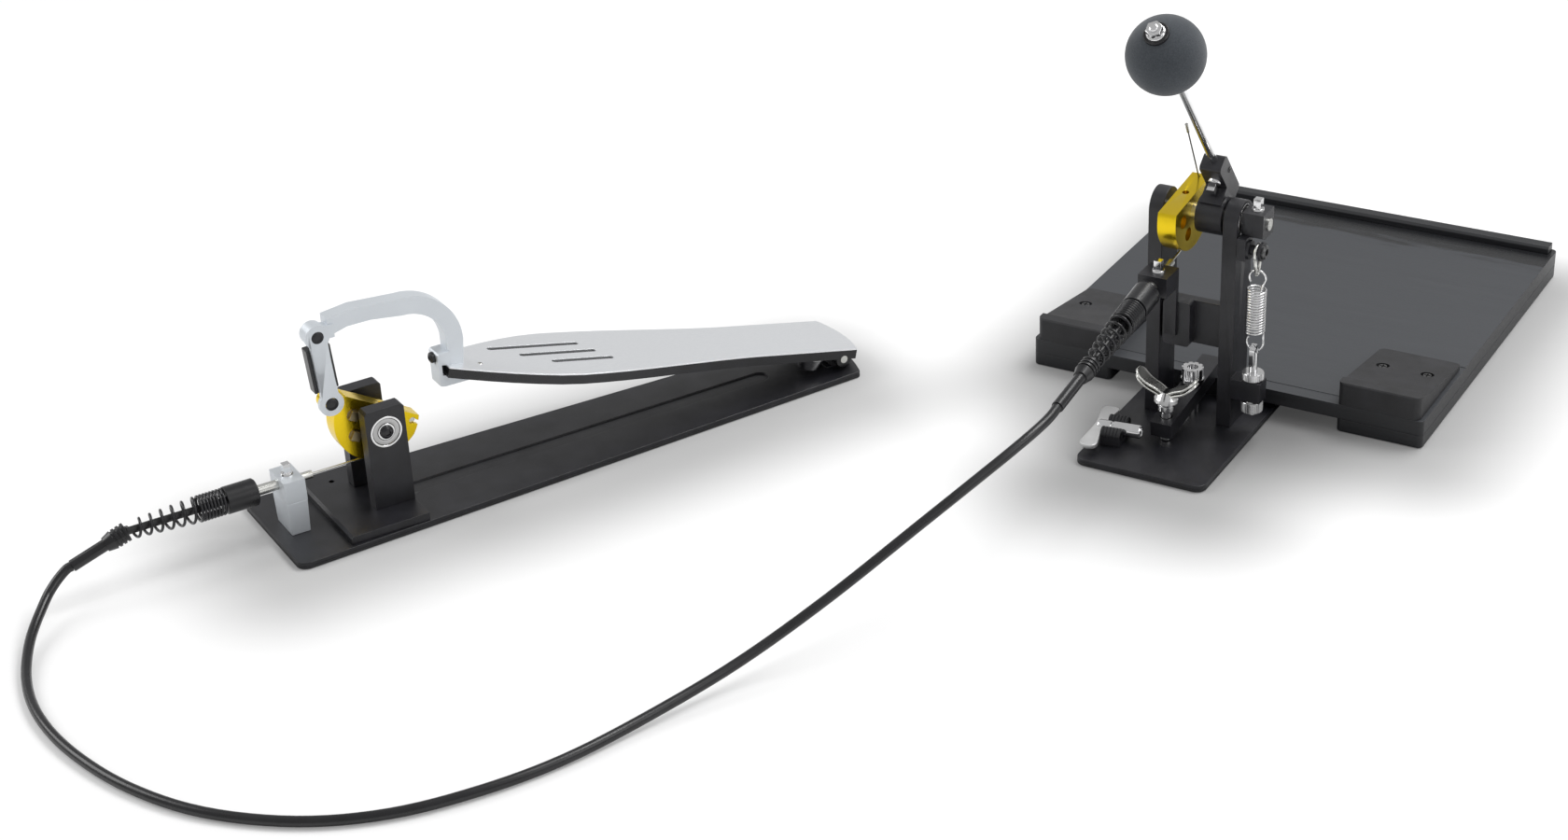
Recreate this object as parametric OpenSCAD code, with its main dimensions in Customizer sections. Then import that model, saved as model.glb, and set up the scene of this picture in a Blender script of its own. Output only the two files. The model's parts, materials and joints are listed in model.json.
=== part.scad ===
// Cable driven pedal for a box drum. A footboard on its own base pulls a sheathed cable,
// and the cable swings a beater that stands on a plate clamped to the drum's platform.
// The origin is on the floor under the middle of the beater. X runs along the beater
// shaft, Y points towards the drum and Z is up. All sizes are in millimetres.

/* [Pedal base] */
// Length of the pedal's base plate along its middle
base_l = 472; // [460:1:500]
// Width of the pedal's base plate at the toe
base_toe_w = 109; // [104:1:116]
// Width of the pedal's base plate at the heel
base_heel_w = 76; // [70:1:90]
// How far the heel end bulges past its corners
heel_bulge = 6; // [3:1:10]
// Thickness of the sheet steel of both base plates
plate_t = 3; // [2:0.5:5]
// Thickness of the rubber underlay of both base plates
mat_t = 2; // [1:0.5:4]
// Radius of the plates' corners
corner_r = 8; // [4:1:12]
// Width of the groove pressed along the pedal's base plate
groove_w = 15; // [8:1:20]
// Length of that groove
groove_l = 290; // [200:5:300]
// Where the pedal stands: its toe's X, Y and its turn about Z
pedal_place = [-520, -452, 62];

/* [Pedal tower] */
// Distance from the toe edge to the tower's foot
tower_x = 41; // [36:1:50]
// Length of the tower's foot along the pedal
tower_l = 60; // [50:1:70]
// Width of the tower's foot across the pedal
tower_w = 100; // [80:1:102]
// Thickness of the tower's foot
tower_t = 6; // [4:0.5:8]
// Length of a pedal post along the pedal
post_l = 30; // [28:1:36]
// Thickness of a post, on the pedal and on the beater unit
post_t = 11; // [9:0.5:13]
// Clear width between the pedal's posts
post_gap = 29; // [26.5:0.5:34]
// Height of the pedal's cam shaft above the floor
pedal_axle_z = 70; // [64:1:78]
// Height of a pedal post above its shaft
post_over = 18.5; // [17:0.5:26]
// Shaft diameter, on the pedal and on the beater unit
axle_d = 9; // [8:0.5:10]
// Outer diameter of the shafts' ball bearings
bearing_d = 24; // [22:1:26]
// Width of the ball bearings
bearing_w = 7; // [5:0.5:8]

/* [Cams] */
// Radius of a cam
cam_r = 33; // [30:1:35]
// Thickness of a cam
cam_t = 14; // [10:1:16]
// Distance of a cam's flat from its shaft
cam_flat = 12.5; // [9:0.5:15]
// Depth of the wire's groove in the rim of a cam
wire_groove = 5.2; // [5.2:0.2:6]
// Depth of the wire's middle below a cam's rim
wire_depth = 4; // [3.6:0.2:4]
// Diameter of the pull wire
wire_d = 1.8; // [1.2:0.2:1.8]
// Diameter of the two holes through a cam
cam_hole_d = 10; // [8:0.5:11]
// Angle of the pedal cam's flat from level
pedal_cam_turn = -31;
// Angle of the beater cam's flat from level
beater_cam_turn = 7;

/* [Link] */
// Distance of the link's lower pin from the cam's shaft
link_arm = 41; // [38:0.5:44]
// Angle of that pin about the cam's shaft
link_arm_turn = 141;
// Distance between the link's two pins
link_l = 53; // [50:1:58]
// Lean of the link from upright
link_lean = 4;
// Diameter of the link plates' eyes
link_eye_d = 18; // [15:0.5:20]
// Width of the link plates between the eyes
link_waist = 12; // [11:0.5:15.5]
// Thickness of a link plate
link_t = 4; // [3:0.5:5]
// Diameter of the link's pins
link_pin_d = 6; // [5:0.5:6.5]
// Width of the black block between the link plates
link_core_w = 18; // [14:1:22]

/* [Footboard] */
// Width of the footboard at the heel
board_heel_w = 60; // [54:1:70]
// Greatest width of the footboard
board_w = 80; // [70:1:90]
// Width of the footboard at the toe
board_toe_w = 24; // [22:1:30]
// Length of the footboard in front of its hinge
board_l = 328; // [322:1:334]
// Length of the footboard behind its hinge
board_heel = 16; // [12:1:20]
// Thickness of the footboard's black core
board_t = 7; // [5:0.5:9]
// Thickness of its brushed cover sheet
cover_t = 1; // [0.8:0.1:2]
// Slope of the footboard at rest
board_slope = 13.2;
// Distance of the heel hinge from the toe edge of the base
heel_x = 461.5;
// Height of the heel hinge above the floor
heel_z = 14.6;
// Diameter of the heel hinge's pin
heel_pin_d = 6; // [5:0.5:6]
// Width of the swan neck
neck_w = 12; // [10:1:14]
// Depth of the swan neck's bar
neck_d = 13; // [11:1:16]

/* [Cable] */
// Outer diameter of the sheathed cable
cable_d = 7; // [6:0.5:8]
// Diameter of a cable end's ferrule
ferrule_d = 7.6; // [6.5:0.1:8.5]
// Length of a ferrule outside its sleeve
ferrule_l = 42; // [38:1:46]
// Diameter of the sleeve over a cable end
sleeve_d = 20; // [18:1:22]
// Length of that sleeve
sleeve_l = 23; // [18:1:28]
// Wire diameter of a strain relief spring
strain_wire = 2.2; // [1.6:0.2:2.4]
// Closed turns of a strain relief spring
strain_closed = 6; // [4:1:7]
// Pitch of the closed turns
closed_pitch = 3.1; // [3:0.1:3.6]
// Open turns of a strain relief spring
strain_open = 6; // [4:1:7]
// Pitch of the open turns
open_pitch = 7.8; // [6:0.2:8.4]
// Length of the ribbed cap after the spring
cap_l = 17; // [14:1:22]
// Length of the shrink tube after the cap
shrink_l = 26; // [18:1:30]
// Length of that tube on the beater's end of the cable
long_shrink_l = 36; // [26:1:40]
// Droop of the pedal end's cap and shrink tube
pedal_droop = 18;

/* [Beater unit] */
// Width of the beater unit's base plate
stand_w = 100; // [92:1:112]
// Length of that plate in front of the beater shaft
stand_front = 105; // [98:1:120]
// Length of that plate behind the beater shaft
stand_back = 50; // [46:1:70]
// X of that plate's left edge
stand_x = -60; // [-64:1:-57]
// Height of the beater shaft above the floor
beater_axle_z = 166; // [158:1:176]
// Depth of the beater unit's posts, front to back
stand_post_d = 29; // [27:0.5:32]
// X of the left post's inner face
left_post_x = -34;
// X of the right post's inner face
right_post_x = 12;
// Diameter of the beater hub's barrel
hub_d = 28; // [26:1:30]
// Length of the beater hub's barrel
hub_l = 20; // [16:1:21]
// Distance of the beater rod's line from the shaft
rod_offset = 23; // [21:0.5:26]
// Diameter of the beater rod
rod_d = 6.2; // [5.5:0.1:7]
// Lean of the beater at rest, from upright
beater_lean = 39;
// Distance of the ball's centre along the rod, from the point beside the shaft
ball_reach = 179; // [160:1:195]
// Diameter of the ball
ball_d = 54; // [48:1:60]
// Height of the cross plate's lower edge
cross_z = 66; // [60:1:72]
// Height of the cross plate
cross_h = 34; // [28:1:40]
// Thickness of the cross plate
cross_t = 8; // [6:0.5:9]
// Angle at which the pull wire rises to the beater cam
wire_rise = 8.4;

/* [Return spring] */
// Distance of the rocker's roller from the shaft
rocker_r = 20; // [18:1:22]
// Mean radius of the spring's coil
spring_r = 5.9; // [5:0.1:6.4]
// Wire diameter of the spring
spring_wire = 1.5; // [1.2:0.1:1.6]
// Turns of the spring's coil
spring_turns = 17; // [14:1:18]
// Pitch of the spring's coil
spring_pitch = 2.1; // [2.1:0.05:2.3]
// Diameter of the knurled nuts
nut_d = 16; // [13:0.5:18]
// Diameter of the tension rod
tension_d = 6; // [5:0.5:7]

/* [Clamp] */
// Width of the clamp lever
lever_w = 16; // [14:1:18]
// Thickness of the clamp lever
lever_t = 12; // [10:0.5:13]
// Tilt of the clamp lever
lever_tilt = 7; // [6.5:0.1:7.5]
// X of the clamp lever's middle
lever_x = -12;
// Diameter of the wing screw
wing_d = 8; // [7:0.5:9]
// Span of the wing screw's wings
wing_span = 47; // [36:1:48]
// Diameter of the pivot screw's head
pivot_head_d = 16; // [14:0.5:17]

/* [Platform] */
// Width of the platform
deck_w = 310; // [306:1:330]
// Depth of the platform
deck_l = 324; // [324:1:350]
// Y of the platform's front edge
deck_y = 24; // [23:1:26]
// Thickness of the deck
deck_t = 12; // [11.5:0.1:12.5]
// Height of the runners under the deck
runner_h = 10.5; // [10:0.1:11]
// Width of a runner
runner_w = 65; // [50:1:70]
// Depth of the rear rail
rail_l = 12; // [10:1:16]
// Height of the rear rail above the deck
rail_h = 6.5; // [5:0.5:12]
// Width of a corner pad
pad_w = 62; // [56:1:64]
// Depth of a corner pad
pad_l = 94; // [80:1:100]
// Height of a corner pad's front lip
pad_lip_h = 18; // [14:0.5:22]
// Depth of that lip
pad_lip_l = 12; // [10:0.5:14]
// Height of a pad behind its lip
pad_t = 15; // [12:0.5:16]
// Height of a pad at its rear
pad_thin = 3; // [2:0.5:4]

/* [Drum key] */
// Length of the key's handle
key_handle_l = 62; // [50:1:64]
// Diameter of the key's barrel
key_d = 10; // [9:0.5:11]
// Length of the key's barrel
key_l = 31; // [26:1:34]

/* [Hidden] */

$fn = 48;
soft_fn = 32;
big = 400;

// Clearances: a running fit, a seat that only touches, and a gap that stays open
run = 0.05;
gap = 0.3;
open_pin = 1.85;

top_z = mat_t + plate_t;
wire_r = cam_r - wire_depth;
post_x = tower_x + tower_l - post_l;
axle_x = post_x + post_l / 2;
tower_z = top_z + tower_t;
post_half = post_gap / 2;
wire_z = pedal_axle_z - wire_r;
end_x = -6;
bearing_r = bearing_d / 2;
axle_r = axle_d / 2;
screw_head = 10;
screw_head_h = 2.6;

module at_pedal() {
    translate([pedal_place[0], pedal_place[1], 0]) rotate(pedal_place[2]) children();
}

// Draws a flat shape upright: on the pedal in its X and Z, centred across the pedal
module upright(t) {
    rotate([90, 0, 0]) linear_extrude(t, center = true) children();
}

// Draws a flat shape upright in Y and Z, centred on X = 0
module sideways(t) {
    rotate([90, 0, 90]) linear_extrude(t, center = true) children();
}

module rounded_box(size, r) {
    hull() for (x = [r, size[0] - r], y = [r, size[1] - r])
        translate([x, y, 0]) cylinder(r = r, h = size[2], $fn = soft_fn);
}

// A screw head: square with rounded corners and a flange, as on drum hardware
module square_screw(head = 5.5, head_h = 7, flange = 9.5, shank = 5, shank_l = 10) {
    translate([-head / 2, -head / 2, 1.5]) cube([head, head, head_h]);
    cylinder(d1 = flange, d2 = flange - 1, h = 1.5);
    translate([0, 0, -shank_l]) cylinder(d = shank, h = shank_l);
}

// A low round screw head with a hexagon socket, seated on Z = 0
module button_head(d, h) {
    difference() {
        intersection() {
            cylinder(d = d, h = h);
            translate([0, 0, h - d * 0.75]) sphere(d = d * 1.5);
        }
        translate([0, 0, h * 0.35]) cylinder(d = d * 0.5, h = h, $fn = 6);
    }
}

// Sweeps a tube along points; across gives each point a vector off the tube's line
function unit(v) = v / norm(v);
function tube_points(path, across, r, sides) = [
    for (i = [0 : len(path) - 1])
        let (
            ahead = path[min(i + 1, len(path) - 1)],
            behind = path[max(i - 1, 0)],
            t = unit(ahead - behind),
            q = unit(across[i] - (across[i] * t) * t),
            b = cross(t, q)
        )
        for (k = [0 : sides - 1])
            path[i] + r * (cos(360 * k / sides) * q + sin(360 * k / sides) * b)
];
function tube_faces(n, s) = concat(
    [[for (k = [s - 1 : -1 : 0]) k]],
    [for (i = [0 : n - 2], k = [0 : s - 1]) [i * s + k, i * s + (k + 1) % s, (i + 1) * s + k]],
    [for (i = [0 : n - 2], k = [0 : s - 1])
        [i * s + (k + 1) % s, (i + 1) * s + (k + 1) % s, (i + 1) * s + k]],
    [[for (k = [0 : s - 1]) (n - 1) * s + k]]
);
module tube(path, across, d, sides) {
    polyhedron(tube_points(path, across, d / 2, sides), tube_faces(len(path), sides), 10);
}

// Least clear distance between turns of a wound tube
function least_gap(path, d, apart) = min([
    for (i = [0 : len(path) - 1])
        for (j = [i + apart : 1 : len(path) - 1]) norm(path[i] - path[j])
]) - d;

// A strain relief spring winds about X, from the sleeve's face towards -X
curl_steps = 8;
strain_r = sleeve_d / 2 - strain_wire / 2 - 0.4;
strain_end_r = 5.6;
closed_l = strain_closed * closed_pitch;
open_l = strain_open * open_pitch;
strain_l = 2 * strain_wire + closed_l + open_l + 1.4;
strain_turns = strain_closed + strain_open;
function strain_out(k) = let (n = k / curl_steps)
    n < strain_closed ? n * closed_pitch
        : closed_l + (n - strain_closed) * open_pitch;
function strain_rad(k) = let (n = k / curl_steps)
    n < strain_closed ? strain_r
        : strain_r + (strain_end_r - strain_r) * (n - strain_closed) / strain_open;
function around_x(a) = [0, cos(a), sin(a)];
strain_steps = strain_turns * curl_steps;
strain_helix = [for (k = [1 : strain_steps - 1])
    let (a = 360 * k / curl_steps)
    strain_rad(k) * around_x(a) - [strain_wire + 0.7 + strain_out(k), 0, 0]];
strain_path = concat(
    [strain_r * around_x(0), strain_r * around_x(0) - [strain_wire, 0, 0]],
    strain_helix,
    [strain_end_r * around_x(0) - [strain_l - strain_wire, 0, 0],
     strain_end_r * around_x(0) - [strain_l, 0, 0]]
);
strain_across = concat(
    [around_x(0), around_x(0)],
    [for (k = [1 : strain_steps - 1]) around_x(360 * k / curl_steps)],
    [around_x(0), around_x(0)]
);

// The return spring winds about Z, with a round eye in X and Z at each end
eye_r = spring_r - 0.4;
spring_l = spring_turns * spring_pitch;
spring_steps = spring_turns * curl_steps;
function around_z(a) = [cos(a), sin(a), 0];
function in_xz(a) = [cos(a), 0, sin(a)];
eye_from = -215;
eye_steps = 10;
lower_eye = [for (k = [0 : eye_steps])
    let (a = eye_from - eye_from * k / eye_steps)
    eye_r * in_xz(a) + [spring_r - eye_r, 0, -eye_r - 1.6]];
upper_eye = [for (k = [0 : eye_steps])
    let (a = -eye_from * k / eye_steps)
    eye_r * in_xz(a) + [spring_r - eye_r, 0, spring_l + eye_r + 1.6]];
spring_helix = [for (k = [1 : spring_steps - 1])
    spring_r * around_z(360 * k / curl_steps) + [0, 0, k * spring_pitch / curl_steps]];
spring_path = concat(lower_eye, spring_helix, upper_eye);
spring_across = concat(
    [for (k = [0 : eye_steps]) in_xz(eye_from - eye_from * k / eye_steps)],
    [for (k = [1 : spring_steps - 1]) around_z(360 * k / curl_steps)],
    [for (k = [0 : eye_steps]) in_xz(-eye_from * k / eye_steps)]
);
echo(strain_spring_gap = least_gap(strain_path, strain_wire, 6));
echo(return_spring_gap = least_gap(spring_path, spring_wire, 6));

// Cable ends: each is drawn from its sleeve's face, with the ferrule towards +X
ferrule_nose = 10;
cap_d = 14;
cap_small = 10.5;
shrink_d = 8.6;
inner_d = 5.4;
spring_end = sleeve_l + strain_l;
cable_end = cap_l + shrink_l;
long_end = cap_l + long_shrink_l;

module ferrule() {
    rotate([0, 90, 0]) {
        cylinder(d = ferrule_d, h = ferrule_l - ferrule_nose);
        difference() {
            cylinder(d = ferrule_d - 1.6, h = ferrule_l);
            translate([0, 0, ferrule_l - 6]) cylinder(d = wire_d + 0.6, h = 7);
        }
    }
}
module sleeve() {
    rotate([0, -90, 0]) difference() {
        union() {
            cylinder(d = sleeve_d - 2, h = 1);
            translate([0, 0, 1]) cylinder(d = sleeve_d, h = sleeve_l - 1);
        }
        translate([0, 0, 2]) cylinder(d = inner_d, h = sleeve_l);
    }
}
module strain_spring() {
    translate([-sleeve_l, 0, 0]) tube(strain_path, strain_across, strain_wire, 6);
}
module cable_cap(droop, tube_l) {
    // The bare cable inside the spring
    translate([-sleeve_l, 0, 0]) rotate([0, -90, 0]) cylinder(d = inner_d, h = strain_l);
    translate([-spring_end, 0, 0]) rotate([0, -90 - droop, 0]) {
        rib = cap_l / 5;
        for (k = [0 : 2]) translate([0, 0, k * rib]) {
            cylinder(d = cap_d, h = rib * 0.62);
            translate([0, 0, rib * 0.6]) cylinder(d = cap_d - 2, h = rib * 0.42);
        }
        translate([0, 0, 3 * rib]) cylinder(d1 = cap_d, d2 = cap_small, h = 2 * rib);
        translate([0, 0, cap_l]) cylinder(d = shrink_d, h = tube_l);
    }
}

// Where the two cable ends lie
module at_pedal_end() { at_pedal() translate([end_x, 0, wire_z]) children(); }
cam_x = -23;
anchor_y = -64;
tangent_y = wire_r * sin(wire_rise);
tangent_z = beater_axle_z - wire_r * cos(wire_rise);
anchor_z = tangent_z - (tangent_y - anchor_y) * tan(wire_rise);
module at_beater_end() {
    translate([cam_x, anchor_y, anchor_z]) rotate([wire_rise, 0, 0]) rotate(90) children();
}

// The cable lies on the floor in a long bow. Its middle points are chosen by hand.
cable_r = cable_d / 2;
out_p = spring_end + cable_end * cos(pedal_droop) - end_x;
pedal_out = [
    pedal_place[0] - out_p * cos(pedal_place[2]),
    pedal_place[1] - out_p * sin(pedal_place[2]),
    wire_z - cable_end * sin(pedal_droop)];
pedal_dir = [
    -cos(pedal_droop) * cos(pedal_place[2]),
    -cos(pedal_droop) * sin(pedal_place[2]),
    -sin(pedal_droop)];
beater_dir = [0, -cos(wire_rise), -sin(wire_rise)];
beater_out = [cam_x, anchor_y, anchor_z] + (spring_end + long_end) * beater_dir;
cable_bow = [
    [-588, -604, 13], [-573, -638, 7], [-544, -672, cable_r], [-506, -698, cable_r],
    [-457, -717, cable_r], [-400, -727, cable_r], [-342, -725, cable_r],
    [-285, -706, cable_r], [-240, -674, cable_r], [-205, -630, cable_r],
    [-178, -580, cable_r], [-155, -520, 6], [-128, -456, 16],
    [-98, -394, 38], [-66, -328, 66], [-44, -272, 88]];
cable_route = concat(
    [pedal_out, pedal_out + cable_d * pedal_dir], cable_bow,
    [beater_out + 1.6 * cable_d * beater_dir, beater_out + cable_d * beater_dir, beater_out]);
// Points between the route's own, on a smooth curve through them
function smooth(a, b, c, d, t) = 0.5 * (2 * b + (c - a) * t
    + (2 * a - 5 * b + 4 * c - d) * t * t + (3 * b - a - 3 * c + d) * t * t * t);
steps_between = 4;
last_leg = len(cable_route) - 2;
function leg_steps(i) = i == 0 || i >= last_leg - 1 ? 1 : steps_between;
cable_path = concat(
    [for (i = [0 : last_leg]) for (k = [0 : leg_steps(i) - 1])
        smooth(cable_route[max(i - 1, 0)], cable_route[i], cable_route[i + 1],
            cable_route[min(i + 2, last_leg + 1)], k / leg_steps(i))],
    [cable_route[last_leg + 1]]
);
cable_across = [for (p = cable_path) [0, 0, 1]];

// Pedal base
module base_outline() {
    heel_arc = (pow(base_heel_w / 2 - 4, 2) + pow(heel_bulge, 2)) / (2 * heel_bulge);
    heel_end = base_l + heel_bulge;
    half = asin((base_heel_w / 2 - 4) / heel_arc);
    hull() {
        for (s = [-1, 1]) {
            translate([corner_r, s * (base_toe_w / 2 - corner_r)]) circle(corner_r, $fn = soft_fn);
            translate([base_l - 4, s * (base_heel_w / 2 - 4)]) circle(4, $fn = soft_fn);
        }
        polygon([for (k = [-6 : 6])
            [heel_end - heel_arc + heel_arc * cos(half * k / 6), heel_arc * sin(half * k / 6)]]);
    }
}
module pedal_mat() {
    color("dimgray") at_pedal() linear_extrude(mat_t) base_outline();
}
groove_start = 112;
groove_depth = 1.2;
module pedal_base_plate() {
    color("black") at_pedal() difference() {
        translate([0, 0, mat_t]) linear_extrude(plate_t) base_outline();
        translate([groove_start, 0, top_z - groove_depth]) hull() for (x = [0, groove_l])
            translate([x, 0, 0]) cylinder(d = groove_w, h = plate_t, $fn = soft_fn);
    }
}

// Pedal tower
foot_hole = [20, 33];
module tower_foot() {
    bevel = 2;
    color("black") at_pedal() translate([tower_x, 0, top_z]) difference() {
        upright(tower_w) polygon([[0, 0], [tower_l, 0], [tower_l, tower_t],
            [bevel, tower_t], [0, tower_t - bevel]]);
        translate([foot_hole[0], foot_hole[1], -1]) cylinder(d = 4, h = tower_t + 2);
    }
}
// Side is -1 for the near post and 1 for the far one
module pedal_post(side) {
    chamfer = 2;
    post_top = pedal_axle_z + post_over - tower_z;
    color("black") at_pedal() translate([axle_x, side * (post_half + post_t / 2), 0]) difference() {
        translate([0, 0, tower_z]) upright(post_t) polygon([
            [-post_l / 2, 0], [post_l / 2, 0], [post_l / 2, post_top - chamfer],
            [post_l / 2 - chamfer, post_top], [-post_l / 2 + 2, post_top],
            [-post_l / 2, post_top - 2]]);
        translate([0, 0, pedal_axle_z]) rotate([90, 0, 0]) {
            cylinder(d = axle_d + 5, h = big, center = true);
            translate([0, 0, -side * (post_t - bearing_w + 1) / 2])
                cylinder(d = bearing_d, h = bearing_w + 1, center = true);
        }
    }
}
module near_post() { pedal_post(-1); }
module far_post() { pedal_post(1); }

// A shielded ball bearing, centred on its own axis along Z
module ball_bearing() {
    inner = axle_r + run;
    ring = 1.7;
    rotate_extrude() polygon([
        [inner, 0], [inner + ring, 0], [inner + ring, 0.5], [bearing_r - ring, 0.5],
        [bearing_r - ring, 0], [bearing_r, 0], [bearing_r, bearing_w],
        [bearing_r - ring, bearing_w], [bearing_r - ring, bearing_w - 0.5],
        [inner + ring, bearing_w - 0.5], [inner + ring, bearing_w], [inner, bearing_w]]);
}
bearing_out = post_half + post_t;
module pedal_bearings() {
    color("silver") at_pedal() for (s = [-1, 1])
        translate([axle_x, s * (bearing_out - bearing_w / 2), pedal_axle_z])
            rotate([90, 0, 0]) translate([0, 0, -bearing_w / 2]) ball_bearing();
}

// Cam shaft and cam
module pedal_axle() {
    color("silver") at_pedal() translate([axle_x, 0, pedal_axle_z]) rotate([90, 0, 0])
        difference() {
            cylinder(d = axle_d, h = 2 * (bearing_out + gap), center = true);
            cylinder(d = 4.2, h = big, center = true);
        }
}
module pedal_axle_screws() {
    color("black") at_pedal() for (s = [-1, 1])
        translate([axle_x, s * (bearing_out + gap), pedal_axle_z]) rotate([s * -90, 0, 0]) {
            button_head(screw_head, screw_head_h);
            translate([0, 0, -12]) cylinder(d = 4.2, h = 12);
        }
}
beater_travel = 42;
tip_angle = 15;
tip_r = cam_r - 4.6;
nipple_d = 5;
cam_holes = [[19, 178], [17.5, 230]];
wrap_from = -132;
// The rim is shaved where no wire runs
shave_r = 33.8;
shave_off = [5, 91];
function polar(r, a) = [r * cos(a), r * sin(a)];

// A cam about its own shaft, with its flat level and the wire's groove in its rim
module cam_shape() {
    difference() {
        upright(cam_t) difference() {
            intersection() {
                circle(cam_r, $fn = 96);
                translate(polar(shave_off[0], shave_off[1])) circle(shave_r, $fn = 96);
            }
            translate([-cam_r - 1, cam_flat]) square([2 * cam_r + 2, cam_r]);
        }
        for (h = cam_holes) translate([polar(h[0], h[1])[0], 0, polar(h[0], h[1])[1]])
            rotate([90, 0, 0]) cylinder(d = cam_hole_d, h = big, center = true);
        rotate([90, 0, 0]) cylinder(d = axle_d, h = big, center = true);
        // The groove, wide enough for two strands, and the slot of the wire's end
        rotate([90, 0, 0]) rotate(wrap_from) rotate_extrude(angle = tip_angle - wrap_from, $fn = 96)
            translate([cam_r - wire_groove, -wire_d / 2 - gap])
                square([wire_groove + 1, 2 * wire_d + 3 * gap]);
        translate([polar(tip_r, tip_angle)[0], 0, polar(tip_r, tip_angle)[1]]) rotate([90, 0, 0]) {
            cylinder(d = nipple_d, h = big, center = true);
            translate([0, -nipple_d * 0.3, -cam_t]) cube([cam_r, nipple_d * 0.6, 2 * cam_t]);
        }
        // The set screw's hole in the flat
        translate([2, 0, axle_r]) cylinder(d = 5, h = cam_r);
    }
}
// The nose that carries the link's lower pin is thin and lies on the near side
nose_r = 7;
nose_far = 1;
module cam_nose() {
    pin = polar(link_arm, link_arm_turn - pedal_cam_turn);
    difference() {
        translate([0, (nose_far - cam_t / 2) / 2, 0]) upright(nose_far + cam_t / 2) hull() {
            translate(pin) circle(nose_r, $fn = soft_fn);
            translate(polar(cam_r - 14, link_arm_turn - pedal_cam_turn)) circle(9, $fn = soft_fn);
        }
        translate([pin[0], 0, pin[1]]) rotate([90, 0, 0])
            cylinder(d = link_pin_d, h = big, center = true);
        for (h = cam_holes) translate([polar(h[0], h[1])[0], 0, polar(h[0], h[1])[1]])
            rotate([90, 0, 0]) cylinder(d = cam_hole_d, h = big, center = true);
    }
}
module at_pedal_cam() {
    at_pedal() translate([axle_x, 0, pedal_axle_z]) rotate([0, -pedal_cam_turn, 0]) children();
}
module pedal_cam() {
    color("goldenrod") at_pedal_cam() union() {
        cam_shape();
        cam_nose();
    }
}
cam_bolt = 6.8;
// Square headed bolts in the cam's holes, with their heads on the near face
module cam_bolts() {
    color("silver") at_pedal_cam() for (h = cam_holes)
        translate([polar(h[0], h[1])[0], 0, polar(h[0], h[1])[1]]) rotate([90, 0, 0]) {
            cylinder(d = cam_hole_d, h = cam_t - 1, center = true);
            translate([-cam_bolt / 2, -cam_bolt / 2, cam_t / 2 - 1]) cube([cam_bolt, cam_bolt, 4]);
        }
}
module nipple() {
    translate([polar(tip_r, tip_angle)[0], 0, polar(tip_r, tip_angle)[1]]) rotate([90, 0, 0])
        cylinder(d = nipple_d, h = cam_t - 4, center = true);
}
// The strand that turns with a cam lies beside the one that stays on the pull wire
module wire_wrap(from) {
    rotate([90, 0, 0]) rotate(from) rotate_extrude(angle = tip_angle - 4 - from, $fn = 96)
        translate([wire_r, wire_d + gap]) circle(d = wire_d, $fn = 16);
}
module laid_wire(from) {
    rotate([90, 0, 0]) rotate(from) rotate_extrude(angle = beater_travel, $fn = 96)
        translate([wire_r, 0]) circle(d = wire_d, $fn = 16);
}
module pedal_wire_wrap() {
    color("silver") at_pedal_cam() {
        wire_wrap(beater_travel - 89 - pedal_cam_turn);
        nipple();
    }
}
module pull_wires() {
    start = ferrule_l - 5;
    color("silver") {
        at_pedal_end() wire(start, axle_x - end_x - gap);
        at_beater_end() wire(start, (tangent_y - anchor_y) / cos(wire_rise) - gap);
        at_pedal_cam() laid_wire(-90 - pedal_cam_turn);
        at_beater_cam() laid_wire(-90 + wire_rise - beater_cam_turn);
    }
}
module wire(from, to) {
    translate([from, 0, 0]) rotate([0, 90, 0]) cylinder(d = wire_d, h = to - from, $fn = 16);
}

// Link, on the near side of the cam's nose and the swan neck
lower_pin = [axle_x + polar(link_arm, link_arm_turn)[0],
    pedal_axle_z + polar(link_arm, link_arm_turn)[1]];
upper_pin = lower_pin + polar(link_l, 90 + link_lean);
link_y = cam_t / 2 + gap;
link_out = link_y + link_t;
core_clear = link_eye_d / 2 + 0.5;
bolt_head_d = 11;
bolt_head_h = 1.4;
module link_frame() {
    at_pedal() translate([lower_pin[0], 0, lower_pin[1]]) rotate([0, -link_lean, 0]) children();
}
module link_plate() {
    color("lightgray") link_frame() translate([0, -link_y - link_t / 2, 0]) difference() {
        upright(link_t) union() {
            circle(d = link_eye_d);
            translate([0, link_l]) circle(d = link_eye_d);
            translate([-link_waist / 2, 0]) square([link_waist, link_l]);
            // The flares from the waist to the eyes
            for (z = [0, link_l]) translate([0, z]) rotate(z > 0 ? 180 : 0) polygon([
                polar(link_eye_d / 2, 45), polar(link_eye_d / 2, 135),
                [-link_waist / 2, link_eye_d], [link_waist / 2, link_eye_d]]);
        }
        rotate([90, 0, 0]) cylinder(d = link_pin_d + 2 * open_pin, h = big, center = true);
        translate([0, 0, link_l]) rotate([90, 0, 0])
            cylinder(d = link_pin_d, h = big, center = true);
    }
}
core_t = 9;
module link_core() {
    core_l = link_l - 2 * core_clear;
    color("black") link_frame() translate([0, 0, core_clear])
        translate([-link_core_w / 2, -link_y, 0]) cube([link_core_w, core_t, core_l]);
}
// Its head is on the near face, with some room, and it ends at a depth on the far side
module link_bolt(room, far) {
    rotate([90, 0, 0]) {
        translate([0, 0, -far]) cylinder(d = link_pin_d, h = far + link_out + room);
        translate([0, 0, link_out + room]) button_head(bolt_head_d, bolt_head_h);
    }
}
module lower_link_bolt() { color("black") link_frame() link_bolt(gap, nose_far); }
module upper_link_bolt() {
    color("black") link_frame() translate([0, 0, link_l]) link_bolt(0, tongue_far);
}

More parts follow.
